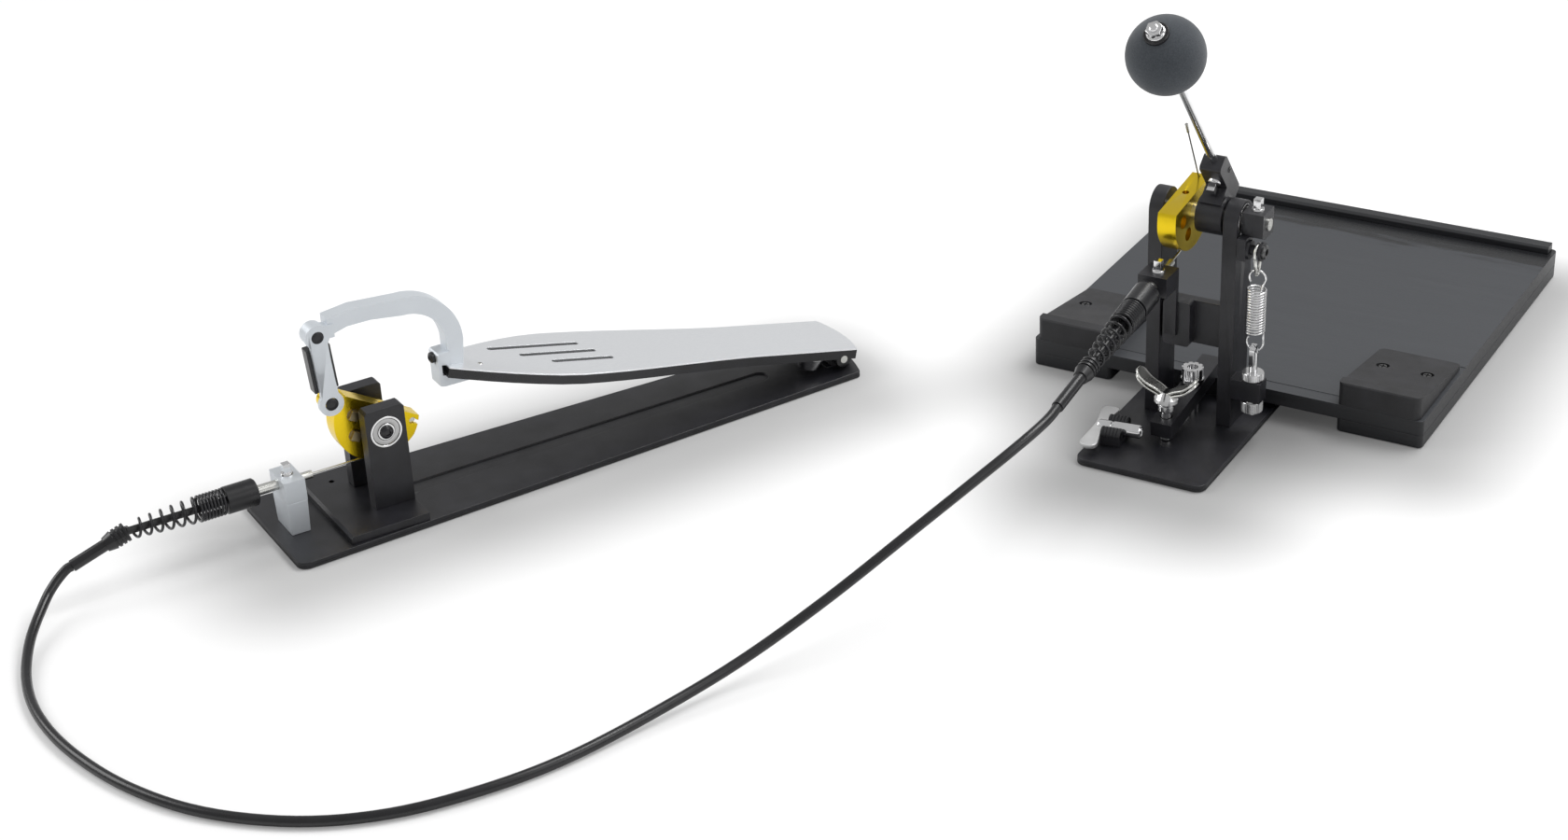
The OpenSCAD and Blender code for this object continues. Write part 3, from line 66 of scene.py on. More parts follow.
# %% Camera
CAMERA_AT = Vector((0.6682, -1.6545, 0.9684))
CAMERA_TURN = radians(32.14)
CAMERA_PITCH = radians(28.44)
CAMERA_ROLL = radians(-2.91)
FOCAL_PX = 2894.3
PICTURE_PX = 1680

ahead = Vector((-sin(CAMERA_TURN) * cos(CAMERA_PITCH),
                cos(CAMERA_TURN) * cos(CAMERA_PITCH), -sin(CAMERA_PITCH)))
level = Vector((cos(CAMERA_TURN), sin(CAMERA_TURN), 0))
plumb = level.cross(ahead)
right = cos(CAMERA_ROLL) * level + sin(CAMERA_ROLL) * plumb
up = cos(CAMERA_ROLL) * plumb - sin(CAMERA_ROLL) * level
camera_data = bpy.data.cameras.new("camera")
camera_data.sensor_width = 36
camera_data.lens = FOCAL_PX / PICTURE_PX * camera_data.sensor_width
camera_data.clip_end = 50
camera = bpy.data.objects.new("camera", camera_data)
camera.matrix_world = Matrix((
    (right.x, up.x, -ahead.x, CAMERA_AT.x),
    (right.y, up.y, -ahead.y, CAMERA_AT.y),
    (right.z, up.z, -ahead.z, CAMERA_AT.z),
    (0, 0, 0, 1)))
bpy.context.scene.collection.objects.link(camera)
bpy.context.scene.camera = camera
print("lens", round(camera_data.lens, 2))

# %% [markdown]
# ## Places
# The two units stand apart, and the pedal is turned by 62 degrees. A piece could be drawn
# straight in the room's axes, but then each size would be mixed with that turn. Here it
# is drawn in its own unit's axes in millimetres, and one matrix carries it to its place.

# %% Places of the pedal and the shafts
MM = 0.001
PEDAL_TURN = radians(62)
PEDAL = Matrix.Translation((-0.520, -0.452, 0)) @ Matrix.Rotation(PEDAL_TURN, 4, "Z")
PEDAL_AXLE_X = 86
PEDAL_AXLE_Z = 70
BEATER_AXLE_Z = 166
ALONG_X = Matrix.Rotation(pi / 2, 4, "Y")
NEAR = Matrix.Rotation(pi / 2, 4, "X")
FAR = Matrix.Rotation(-pi / 2, 4, "X")


def at(x, y, z):
    """A shift in millimetres."""
    return Matrix.Translation(Vector((x, y, z)) * MM)


print("pedal at", [round(v, 3) for v in PEDAL.translation])

# %% [markdown]
# ## Node groups
# Most pieces have one of a few finishes, and their surfaces are never quite even. An effect
# that many of them share could be built again in each material, but a node group is built
# once. These short helpers make a group, add its nodes and join them.

# %% Helpers for node trees
def new_group(name, sockets):
    """An empty shader node group with these named inputs and outputs."""
    group = bpy.data.node_groups.new(name, "ShaderNodeTree")
    for label, way, kind, value in sockets:
        socket = group.interface.new_socket(label, in_out=way, socket_type=kind)
        if value is not None:
            socket.default_value = value
    return group, group.nodes.new("NodeGroupInput"), group.nodes.new("NodeGroupOutput")


def link(tree, *pairs):
    """Joins each pair of an output and an input."""
    for out, into in pairs:
        tree.links.new(out, into)


def add(tree, kind, **values):
    """A node with its properties or its inputs' values set by name."""
    node = tree.nodes.new("ShaderNode" + kind)
    for key, value in values.items():
        if hasattr(node, key):
            setattr(node, key, value)
        else:
            node.inputs[key.replace("_", " ")].default_value = value
    return node


def placed_group(tree, group, **values):
    """A group's node in a material, with its inputs' values set by name."""
    node = tree.nodes.new("ShaderNodeGroup")
    node.node_tree = group
    for key, value in values.items():
        node.inputs[key].default_value = value
    return node


# %% [markdown]
# ## Fine grain
# Coats, castings and mouldings all have a fine, even grain, and patches that shine more or
# less. Fine noise drives a shallow bump, and coarse noise moves the roughness up and down.

# %% Fine grain
def make_grain():
    """Fine grain: a normal from noise, and a roughness that wanders by a share."""
    group, start, end = new_group("fine_grain", [
        ("Scale", "INPUT", "NodeSocketFloat", 900.0),
        ("Depth", "INPUT", "NodeSocketFloat", 0.1),
        ("Roughness", "INPUT", "NodeSocketFloat", 0.4),
        ("Wander", "INPUT", "NodeSocketFloat", 0.1),
        ("Roughness", "OUTPUT", "NodeSocketFloat", None),
        ("Normal", "OUTPUT", "NodeSocketVector", None)])
    place = add(group, "TexCoord")
    fine = add(group, "TexNoise", Detail=3.0)
    cloud = add(group, "TexNoise", Scale=38.0, Detail=4.0)
    bump = add(group, "Bump", Distance=0.0004)
    spread = add(group, "MapRange", clamp=True, From_Min=0.3, From_Max=0.7)
    low = add(group, "Math", operation="SUBTRACT")
    high = add(group, "Math", operation="ADD")
    link(group,
         (place.outputs["Object"], fine.inputs["Vector"]),
         (place.outputs["Object"], cloud.inputs["Vector"]),
         (start.outputs["Scale"], fine.inputs["Scale"]),
         (start.outputs["Depth"], bump.inputs["Strength"]),
         (fine.outputs["Fac"], bump.inputs["Height"]),
         (start.outputs["Roughness"], low.inputs[0]),
         (start.outputs["Wander"], low.inputs[1]),
         (start.outputs["Roughness"], high.inputs[0]),
         (start.outputs["Wander"], high.inputs[1]),
         (cloud.outputs["Fac"], spread.inputs["Value"]),
         (low.outputs[0], spread.inputs["To Min"]),
         (high.outputs[0], spread.inputs["To Max"]),
         (spread.outputs["Result"], end.inputs["Roughness"]),
         (bump.outputs["Normal"], end.inputs["Normal"]))
    return group


GRAIN = make_grain()
print("group", GRAIN.name)

# %% [markdown]
# ## Brush marks
# Brushing leaves long fine marks in one direction. Noise that is stretched along that
# direction looks the same, and a turn lets it follow the pedal.

# %% Brush marks
def make_brush_marks():
    """Brush marks along one direction in plan, given as a turn about Z."""
    group, start, end = new_group("brush_marks", [
        ("Turn", "INPUT", "NodeSocketFloat", 0.0),
        ("Depth", "INPUT", "NodeSocketFloat", 0.15),
        ("Mask", "OUTPUT", "NodeSocketFloat", None),
        ("Normal", "OUTPUT", "NodeSocketVector", None)])
    place = add(group, "TexCoord")
    turn = add(group, "VectorRotate", rotation_type="Z_AXIS")
    stretch = add(group, "Mapping", Scale=(9, 1500, 1500))
    marks = add(group, "TexNoise", Scale=1.0, Detail=3.0)
    bump = add(group, "Bump", Distance=0.0002)
    link(group,
         (place.outputs["Object"], turn.inputs["Vector"]),
         (start.outputs["Turn"], turn.inputs["Angle"]),
         (turn.outputs["Vector"], stretch.inputs["Vector"]),
         (stretch.outputs["Vector"], marks.inputs["Vector"]),
         (marks.outputs["Fac"], bump.inputs["Height"]),
         (start.outputs["Depth"], bump.inputs["Strength"]),
         (marks.outputs["Fac"], end.inputs["Mask"]),
         (bump.outputs["Normal"], end.inputs["Normal"]))
    return group


BRUSH_MARKS = make_brush_marks()
print("group", BRUSH_MARKS.name)

# %% [markdown]
# ## Finishes with grain
# The real pieces are powder coated, moulded, plated, cast or anodised. One flat colour
# would look like plastic on all of them. So each finish wanders between two tones, and
# takes the fine grain at its own scale and depth. Only the numbers differ, so one
# function makes them all.

# %% Coats, plastics, rubber, felt and plain metals
def tinted(tree, dark, light, scale):
    """A colour that wanders between two tones."""
    place = add(tree, "TexCoord")
    noise = add(tree, "TexNoise", Scale=scale, Detail=5.0)
    ramp = add(tree, "ValToRGB")
    ramp.color_ramp.elements[0].position = 0.32
    ramp.color_ramp.elements[1].position = 0.68
    ramp.color_ramp.elements[0].color = (*dark, 1)
    ramp.color_ramp.elements[1].color = (*light, 1)
    link(tree, (place.outputs["Object"], noise.inputs["Vector"]),
         (noise.outputs["Fac"], ramp.inputs["Fac"]))
    return ramp.outputs["Color"]


def new_finish(name, metallic=0.0, **sockets):
    """A new material, its node tree and its principled shader."""
    finish = bpy.data.materials.new(name)
    finish.use_nodes = True
    shader = finish.node_tree.nodes["Principled BSDF"]
    shader.inputs["Metallic"].default_value = metallic
    for key, value in sockets.items():
        shader.inputs[key.replace("_", " ")].default_value = value
    return finish, finish.node_tree, shader


def grained(name, dark, light, rough, wander=0.06, grain=900.0, depth=0.08,
            metallic=0.0, patch=60.0, **sockets):
    """A finish between two tones, with grain of this scale and depth."""
    finish, tree, shader = new_finish(name, metallic, **sockets)
    surface = placed_group(tree, GRAIN, Scale=grain, Depth=depth, Roughness=rough, Wander=wander)
    link(tree, (tinted(tree, dark, light, patch), shader.inputs["Base Color"]),
         (surface.outputs["Roughness"], shader.inputs["Roughness"]),
         (surface.outputs["Normal"], shader.inputs["Normal"]))
    return finish


def grey(value, blue=0.0):
    """A grey, a little bluer if asked."""
    return (value, value, value + blue)


COAT = grained("satin_black_coat", grey(0.008, 0.002), grey(0.015, 0.004), 0.36,
               grain=2600, depth=0.22)
GLOSS = grained("gloss_black_coat", grey(0.007, 0.001), grey(0.012, 0.003), 0.2,
                grain=1500, depth=0.06)
RUBBER = grained("black_rubber", grey(0.009, 0.001), grey(0.017, 0.003), 0.55,
                 grain=2400, depth=0.3)
PLASTIC = grained("black_plastic", grey(0.006, 0.001), grey(0.012, 0.002), 0.28,
                  grain=1800, depth=0.12)
CHROME = grained("chrome", grey(0.74), grey(0.82, 0.01), 0.13, 0.05, metallic=1.0, depth=0.03)
ZINC = grained("bright_zinc", (0.6, 0.6, 0.57), (0.74, 0.74, 0.71), 0.27, 0.08,
               metallic=1.0, depth=0.1)
CAST = grained("tumbled_aluminium", (0.63, 0.665, 0.70), (0.67, 0.705, 0.74), 0.44, 0.03,
               grain=3200, depth=0.02, metallic=0.55, patch=25.0)
GOLD = grained("gold_anodised", (0.80, 0.57, 0.016), (0.85, 0.61, 0.020), 0.22, 0.03,
               grain=3000, depth=0.012, metallic=0.95, patch=40.0)
BRONZE = grained("bronze", (0.40, 0.33, 0.19), (0.50, 0.41, 0.24), 0.3, 0.05,
                 metallic=1.0, depth=0.05)
FELT = grained("dense_felt", (0.032, 0.038, 0.046), (0.048, 0.056, 0.066), 0.88, 0.05,
               grain=2600, depth=0.35, patch=900.0, Sheen_Weight=0.2, Sheen_Roughness=0.5)
STEEL = grained("dark_steel", grey(0.10), grey(0.16, 0.004), 0.34, 0.06,
                metallic=1.0, depth=0.05)
PALE = grained("matt_nickel", grey(0.62), grey(0.72), 0.42, 0.05, metallic=0.8, depth=0.04)
SHIELD = grained("bearing_shield", grey(0.42), grey(0.52), 0.3, 0.05, metallic=1.0, depth=0.03)
print("finishes", len(bpy.data.materials))

# %% [markdown]
# ## Brushed aluminium
# The footboard's cover is brushed from toe to heel. An anisotropic shader could stretch
# its highlights, but the marks themselves would be missing. So noise that is stretched
# along the board drives the tone, the roughness and a shallow bump together.

# %% Brushed aluminium of the footboard's cover
def make_brushed_aluminium():
    """Bright aluminium with marks along the pedal."""
    finish, tree, shader = new_finish("brushed_aluminium", 0.8)
    marks = placed_group(tree, BRUSH_MARKS, Turn=-PEDAL_TURN, Depth=0.12)
    tone = add(tree, "ValToRGB")
    tone.color_ramp.elements[0].color = (0.82, 0.84, 0.87, 1)
    tone.color_ramp.elements[1].color = (0.93, 0.945, 0.96, 1)
    spread = add(tree, "MapRange", To_Min=0.3, To_Max=0.42)
    link(tree, (marks.outputs["Mask"], tone.inputs["Fac"]),
         (tone.outputs["Color"], shader.inputs["Base Color"]),
         (marks.outputs["Mask"], spread.inputs["Value"]),
         (spread.outputs["Result"], shader.inputs["Roughness"]),
         (marks.outputs["Normal"], shader.inputs["Normal"]))
    return finish


BRUSHED = make_brushed_aluminium()
print("brushed", BRUSHED.name)

# %% [markdown]
# ## Stained board
# The platform is of stained board whose grain runs from side to side, with small pores.
# The deck's top is paler, and a dark strip at its rear is a painted reflection of the
# rear rail, with a ragged front. The strip could be a second piece, but it has no
# thickness. So it is a mask across the deck whose front is moved to and fro by stretched noise.

# %% Stained board, plain and with the rear rail's painted reflection on the deck
# The dark strip at the deck's rear is a painted reflection of the rear rail
REFLECTION_FROM_Y = 0.332
REFLECTION_FULL_Y = 0.342
REFLECTION_RAGGED = 0.055
REFLECTION_SMOOTHER = -0.14
REFLECTION_COLOUR = (0.009, 0.0095, 0.011, 1)


def painted_rail_reflection(tree, place):
    """A mask of the rear rail's painted reflection, a dark strip at the deck's rear with a ragged
    front.
    """
    parts = add(tree, "SeparateXYZ")
    stretch = add(tree, "Mapping", Scale=(18, 150, 1))
    edge_noise = add(tree, "TexNoise", Scale=1.0, Detail=6.0)
    ragged = add(tree, "Math", operation="MULTIPLY_ADD")
    ragged.inputs[1].default_value = REFLECTION_RAGGED
    edge = add(tree, "MapRange", clamp=True, From_Min=REFLECTION_FROM_Y, From_Max=REFLECTION_FULL_Y)
    link(tree, (place.outputs["Object"], parts.inputs[0]),
         (place.outputs["Object"], stretch.inputs["Vector"]),
         (stretch.outputs["Vector"], edge_noise.inputs["Vector"]),
         (edge_noise.outputs["Fac"], ragged.inputs[0]), (parts.outputs["Y"], ragged.inputs[2]),
         (ragged.outputs[0], edge.inputs["Value"]))
    return edge.outputs["Result"]


def make_stained_board(name, dark, light, with_reflection):
    """Board with grain along X and pores, and if asked, with the rear rail's painted reflection.
    """
    finish, tree, shader = new_finish(name)
    place = add(tree, "TexCoord")
    stretch = add(tree, "Mapping", Scale=(14, 420, 420))
    grain = add(tree, "TexNoise", Scale=1.0, Detail=5.0)
    pores = add(tree, "TexNoise", Scale=1400.0, Detail=2.0)
    mix = add(tree, "Math", operation="MULTIPLY_ADD")
    mix.inputs[1].default_value = 0.5
    bump = add(tree, "Bump", Distance=0.0003, Strength=0.3)
    tone = add(tree, "ValToRGB")
    tone.color_ramp.elements[0].color = (*dark, 1)
    tone.color_ramp.elements[1].color = (*light, 1)
    spread = add(tree, "MapRange", To_Min=0.3, To_Max=0.5)
    link(tree, (place.outputs["Object"], stretch.inputs["Vector"]),
         (stretch.outputs["Vector"], grain.inputs["Vector"]),
         (place.outputs["Object"], pores.inputs["Vector"]),
         (grain.outputs["Fac"], mix.inputs[0]), (pores.outputs["Fac"], mix.inputs[2]),
         (mix.outputs[0], bump.inputs["Height"]),
         (grain.outputs["Fac"], tone.inputs["Fac"]),
         (grain.outputs["Fac"], spread.inputs["Value"]),
         (bump.outputs["Normal"], shader.inputs["Normal"]))
    rough, colour = spread.outputs["Result"], tone.outputs["Color"]
    # The rear rail's reflection is painted as a dark, smoother strip
    if with_reflection:
        strip = painted_rail_reflection(tree, place)
        smoother = add(tree, "Math", operation="MULTIPLY_ADD")
        smoother.inputs[1].default_value = REFLECTION_SMOOTHER
        # Sockets 6 and 7 of a Mix node are its two colours, and its third output is a colour
        darker = add(tree, "Mix", data_type="RGBA")
        darker.inputs[7].default_value = REFLECTION_COLOUR
        link(tree, (strip, smoother.inputs[0]), (rough, smoother.inputs[2]),
             (strip, darker.inputs[0]), (colour, darker.inputs[6]))
        rough, colour = smoother.outputs[0], darker.outputs[2]
    link(tree, (rough, shader.inputs["Roughness"]), (colour, shader.inputs["Base Color"]))
    return finish


BOARD = make_stained_board("black_stained_board", (0.008, 0.0085, 0.010), (0.017, 0.018, 0.021),
                           False)
# The deck's top is paler, with the rear rail's reflection painted as a dark strip
DECK = make_stained_board("pale_deck_painted_reflection", (0.032, 0.035, 0.040), (0.044, 0.047, 0.053), True)
print("finishes", len(bpy.data.materials))

# %% [markdown]
# ## The cable's ends
# Each end of the cable is held by a clamp block, in line with the wire that leaves the
# cam. Sleeve, strain relief spring, ribbed cap and shrink tube follow each other on that
# line. Its place follows from the shaft and the cam's wire radius, so it is worked out
# from them, with -X pointing away from the cam.

# %% Places of the cable's two ends
WIRE_MM = 29
RISE_DEG = 8.4
WIRE_R = WIRE_MM * MM
WIRE_RISE = radians(RISE_DEG)
CLAMP_X = -6 * MM
BEATER_CAM_X = -23
ANCHOR_Y = -64 * MM
PEDAL_END = PEDAL @ Matrix.Translation((CLAMP_X, 0, PEDAL_AXLE_Z * MM - WIRE_R))
anchor_z = (BEATER_AXLE_Z * MM - WIRE_R * cos(WIRE_RISE)
            - (WIRE_R * sin(WIRE_RISE) - ANCHOR_Y) * tan(WIRE_RISE))
BEATER_END = (Matrix.Translation((BEATER_CAM_X * MM, ANCHOR_Y, anchor_z))
              @ Matrix.Rotation(WIRE_RISE, 4, "X") @ Matrix.Rotation(pi / 2, 4, "Z"))
print("anchor height", round(anchor_z, 4))

# %% [markdown]
# ## Round lines
# Wires, springs and the cable are all one round section along a line. A tube could be swept
# face by face, but a curve with a round bevel does it and stays easy to change.

# %% Smooth lines, and pieces along them
def smooth_line(points, steps):
    """Points on a smooth curve through the given ones."""
    line = []
    last = len(points) - 1
    for i in range(last):
        a, b, c, d = (points[max(i - 1, 0)], points[i], points[i + 1], points[min(i + 2, last)])
        for k in range(steps):
            t = k / steps
            line.append(0.5 * (2 * b + (c - a) * t + (2 * a - 5 * b + 4 * c - d) * t * t
                               + (3 * b - a - 3 * c + d) * t ** 3))
    return line + [points[last]]


def dress(piece, finish, body):
    """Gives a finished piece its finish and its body."""
    piece.data.materials.clear()
    piece.data.materials.append(finish)
    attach(piece, body)
    return piece


def bare_line(name, points, diameter, sides):
    """A round wire or tube along the points, as a curve with a bevel and closed ends."""
    data = bpy.data.curves.new(name, "CURVE")
    data.dimensions = "3D"
    data.bevel_depth = diameter / 2
    data.bevel_resolution = sides
    data.use_fill_caps = True
    spline = data.splines.new("POLY")
    spline.points.add(len(points) - 1)
    for point, place in zip(spline.points, points):
        point.co = (*place, 1)
    spline.use_smooth = True
    piece = bpy.data.objects.new(name, data)
    bpy.context.scene.collection.objects.link(piece)
    return piece


def round_line(name, points, diameter, finish, body, sides=6):
    """A wire or tube along the points, dressed."""
    return dress(bare_line(name, points, diameter, sides), finish, body)


# %% [markdown]
# ## Cable
# The outer casing leaves the pedal's shrink tube, bows over the floor and climbs to the
# beater unit. It is stiff, so its bends are wide. A physics run could lay it, but would
# not give the photographed bow. So a smooth curve passes through listed points, and a
# round bevel gives it its thickness.

# %% Cable route and casing
SLEEVE_L = 23 * MM
SPRING_L = 71.2 * MM
CAP_L = 17 * MM
SHRINK_L = 26 * MM
LONG_SHRINK_L = 36 * MM
PEDAL_DROOP = radians(18)
CABLE_D = 7 * MM
# The cable leaves each shrink tube straight, by this many diameters
PEDAL_STRAIGHT = 0.7
BEATER_STRAIGHT = 1.8

spring_end = SLEEVE_L + SPRING_L
cable_end = CAP_L + SHRINK_L
pedal_out = PEDAL_END @ Vector((
    -spring_end - cable_end * cos(PEDAL_DROOP), 0, -cable_end * sin(PEDAL_DROOP)))
pedal_dir = PEDAL.to_3x3() @ Vector((-cos(PEDAL_DROOP), 0, -sin(PEDAL_DROOP)))
beater_dir = BEATER_END.to_3x3() @ Vector((-1, 0, 0))
beater_out = BEATER_END @ Vector((-spring_end - CAP_L - LONG_SHRINK_L, 0, 0))
BOW_MM = (
    (-589.3, -592, 20.8), (-586.5, -606, 14.5), (-570, -638, 7), (-541, -671, 3.5),
    (-504, -697, 3.5), (-457, -716, 3.5), (-400, -727, 3.5), (-342, -725, 3.5),
    (-285, -706, 3.5), (-240, -674, 3.5), (-205, -630, 3.5),
    (-178, -580, 3.5), (-155, -520, 6), (-128, -456, 16),
    (-97, -394, 38), (-64, -328, 67), (-40, -277, 88), (-31, -256, 96), (-25.3, -238, 101.2))
route = ([pedal_out, pedal_out + PEDAL_STRAIGHT * CABLE_D * pedal_dir]
         + [Vector(p) * MM for p in BOW_MM]
         + [beater_out + BEATER_STRAIGHT * CABLE_D * beater_dir, beater_out])

cable_line = smooth_line(route, 6)
cable_piece = round_line("cable_casing", cable_line, CABLE_D, PLASTIC, "stands")
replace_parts(cable_piece, "cable")

# %% [markdown]
# ## Easing the machined edges
# Real bars and plates have small rounded edges that catch the light. They could be cut
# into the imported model, at a cost in faces that its checks would pay for. Here a copy of
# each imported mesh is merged, its flat faces are joined, and a bevel modifier rounds what
# is sharper than a limit. The copy then stands for the node.

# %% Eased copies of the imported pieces
BODY_OF = {name: body for body, names in frame["record"]["behaviour"]["bodies"].items()
           for name in names}
MERGE = 2e-6
FLAT = radians(0.6)
SHARP_DEG = 35
BEVEL_FROM = radians(38)


def merged_copy(name):
    """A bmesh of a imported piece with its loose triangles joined."""
    bm = bmesh.new()
    bm.from_mesh(nodes[name].data)
    bmesh.ops.remove_doubles(bm, verts=bm.verts, dist=MERGE)
    bmesh.ops.dissolve_limit(bm, angle_limit=FLAT, verts=bm.verts, edges=bm.edges)
    return bm


def as_piece(name, bm, finish, body, sharp=SHARP_DEG):
    """Turns the mesh into a dressed piece, smooth but for edges over so many degrees."""
    data = bpy.data.meshes.new(name)
    bm.to_mesh(data)
    bm.free()
    for face in data.polygons:
        face.use_smooth = True
    data.set_sharp_from_angle(angle=radians(sharp))
    piece = bpy.data.objects.new(name, data)
    bpy.context.scene.collection.objects.link(piece)
    return dress(piece, finish, body)


def round_edges(piece, width, harden=False):
    """A live bevel, its width in millimetres, on the edges sharper than the limit."""
    bevel = piece.modifiers.new("edges", "BEVEL")
    bevel.width = width * MM
    bevel.segments = 2
    bevel.limit_method = "ANGLE"
    bevel.angle_limit = BEVEL_FROM
    bevel.harden_normals = harden


def eased(name, finish, width):
    """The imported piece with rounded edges, in its finish."""
    piece = as_piece(name + "_eased", merged_copy(name), finish, BODY_OF[name])
    round_edges(piece, width, harden=True)
    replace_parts(piece, name)
    return piece


EASED = {
    "pedal_base_plate": (COAT, 0.5), "tower_foot": (COAT, 0.5), "near_post": (COAT, 0.6),
    "far_post": (COAT, 0.6), "heel_hinge_block": (COAT, 0.4), "pedal_clamp_base": (CAST, 0.5),
    "pedal_clamp_cap": (CAST, 0.5), "pedal_cam": (GOLD, 0.5), "link_plate": (CAST, 0.5),
    "link_core": (PLASTIC, 0.6), "footboard_core": (GLOSS, 0.5), "swan_neck": (CAST, 1.4),
    "stand_plate": (COAT, 0.4), "left_post": (COAT, 0.6), "right_post": (COAT, 0.6),
    "cross_plate": (COAT, 0.5), "cable_anchor": (COAT, 0.8), "beater_cam": (GOLD, 0.5),
    "beater_hub": (COAT, 0.9), "rocker": (COAT, 0.8), "clamp_lever": (COAT, 0.8),
    "key_clips": (COAT, 0.4), "platform_deck": (DECK, 0.8), "platform_runners": (BOARD, 0.8),
    "rear_rail": (BOARD, 0.6), "corner_pads": (RUBBER, 1.0), "pedal_mat": (RUBBER, 0.3),
    "stand_mat": (RUBBER, 0.3), "cam_bolts": (BRONZE, 0.3), "ferrule_screws": (CHROME, 0.4),
    "hub_screws": (CHROME, 0.4), "cable_ferrules": (ZINC, 0.3), "cable_sleeves": (PLASTIC, 0.6),
    "cable_caps": (PLASTIC, 0.5), "lower_link_bolt": (COAT, 0.2), "upper_link_bolt": (COAT, 0.2),
    "neck_bolt": (COAT, 0.2), "pedal_axle_screws": (GLOSS, 0.2), "pivot_screw": (CHROME, 0.3),
    "tension_rod": (CHROME, 0.3), "heel_stud": (CHROME, 0.5),
    "footboard_cover": (BRUSHED, 0.15),
}
dressed = {name: eased(name, finish, width) for name, (finish, width) in EASED.items()}
print("eased", len(dressed))

# %% [markdown]
# ## The deck's edges
# Only the deck's top is paler. Its edges and underside are as dark as the runners. The
# faces' own directions tell them apart, so no second mesh or painted mask is needed.

# %% The deck's edges are darker than its paler top
TOP_FACE_Z = 0.9
deck = dressed["platform_deck"].data
deck.materials.append(BOARD)
for face in deck.polygons:
    face.material_index = 0 if face.normal.z > TOP_FACE_Z else 1
print("top faces", sum(face.material_index == 0 for face in deck.polygons))

# %% [markdown]
# ## Pieces kept as they are
# Ground shafts, the rod, the ball and the small pad screws are round already, and have
# no edges to ease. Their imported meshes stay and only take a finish.

# %% Finishes of the kept pieces
KEPT = {
    "pedal_axle": ZINC, "heel_pin": ZINC, "beater_axle": ZINC, "beater_rod": CHROME,
    "beater_ball": FELT, "pad_screws": STEEL,
}
for name, finish in KEPT.items():
    nodes[name].data.materials.clear()
    nodes[name].data.materials.append(finish)
print("kept", len(KEPT))

# %% [markdown]
# ## Turned pieces
# Nuts, rings and screw heads are turned on a lathe on the real object. Stacked cylinders
# would lack their rounded rims. So a profile line is spun once round its axis, as on the
# lathe, and a knurl or a hexagon is a short upright prism beside it. A mesh may get
# several such shapes, so a tag marks those that are in their place already.

# %% Lathe and prism
def carry(bm, place):
    """Takes the vertices that have no tag yet to their place, and tags them."""
    fresh = [v for v in bm.verts if not v.tag]
    bmesh.ops.transform(bm, matrix=place, verts=fresh)
    for v in fresh:
        v.tag = True


def lathe(bm, profile, place, steps=48):
    """Spins a line of (radius, height) points in millimetres once round Z."""
    line = [bm.verts.new((r * MM, 0, z * MM)) for r, z in profile]
    edges = [bm.edges.new(pair) for pair in zip(line, line[1:])]
    bmesh.ops.spin(bm, geom=line + edges, axis=(0, 0, 1), cent=(0, 0, 0),
                   steps=steps, angle=2 * pi, use_merge=True)
    bmesh.ops.remove_doubles(bm, verts=bm.verts, dist=1e-7)
    carry(bm, place)


def prism(bm, radii, height, foot, place):
    """An upright prism whose outline takes its radii, in millimetres, in turn."""
    ring = bmesh.ops.create_circle(bm, cap_ends=True, segments=len(radii), radius=1)["verts"]
    for v, r in zip(ring, radii):
        v.co = v.co.normalized() * r * MM
        v.co.z = foot * MM
    faces = list({f for v in ring for f in v.link_faces})
    top = bmesh.ops.extrude_face_region(bm, geom=faces)["geom"]
    bmesh.ops.translate(bm, vec=(0, 0, height * MM),
                        verts=[g for g in top if isinstance(g, bmesh.types.BMVert)])
    carry(bm, place)


def made(name, bm, finish, body, width=0.25, sharp=SHARP_DEG):
    """Turns the mesh into a piece with its faces outward and its sharp edges eased."""
    bmesh.ops.recalc_face_normals(bm, faces=bm.faces)
    piece = as_piece(name, bm, finish, body, sharp)
    if width:
        round_edges(piece, width)
    print(name, len(piece.data.polygons), "faces")
    return piece


# %% [markdown]
# ## Shielded ball bearings
# Both shafts run in shielded bearings whose outer faces show in the posts. The packed
# bearing is one closed ring. Here its two rings stand apart with a thin pressed shield
# sunk between them, each from its own profile, because the dark gaps between the three
# are what makes it read as a bearing.

# %% Shielded ball bearings
RING_W = 7
INNER_RING = (4.55, 6.3)
OUTER_RING = (10.4, 12)
BEARING_STEPS = 64
POST_OUT = 25.5
STAND_RIGHT_X = 23
STAND_LEFT_X = -45


def bearing_rings(bm, place):
    """The inner and the outer ring, with their outer faces at Z = 0."""
    for inside, outside in (INNER_RING, OUTER_RING):
        lathe(bm, [(inside, -RING_W), (inside, 0), (outside, 0), (outside, -RING_W),
                   (inside, -RING_W)], place, BEARING_STEPS)


def bearing_shield(bm, place):
    """A thin dished washer between the rings."""
    lathe(bm, [(6.7, -0.9), (6.7, -0.5), (8.2, -0.25), (10.0, -0.5), (10.0, -0.9), (6.7, -0.9)],
          place, BEARING_STEPS)


BEARING_PLACES = {
    "pedal_bearings": [PEDAL @ at(PEDAL_AXLE_X, -POST_OUT, PEDAL_AXLE_Z) @ NEAR,
                       PEDAL @ at(PEDAL_AXLE_X, POST_OUT, PEDAL_AXLE_Z) @ FAR],
    "stand_bearings": [at(STAND_RIGHT_X, 0, BEATER_AXLE_Z) @ ALONG_X,
                       at(STAND_LEFT_X, 0, BEATER_AXLE_Z) @ ALONG_X @ Matrix.Rotation(pi, 4, "X")],
}
for node_name, places in BEARING_PLACES.items():
    rings, shields = bmesh.new(), bmesh.new()
    for place in places:
        bearing_rings(rings, place)
        bearing_shield(shields, place)
    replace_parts(made(node_name + "_rings", rings, CHROME, "stands"), node_name)
    made(node_name + "_shields", shields, SHIELD, "stands", 0)

# %% [markdown]
# ## Thumb nuts
# Two knurled nuts set the spring's tension from above and below the post's ear. A bump
# could fake the knurl, but its outline would stay round. So the rim is a prism whose
# radius steps in and out, and a turned hub runs through it.

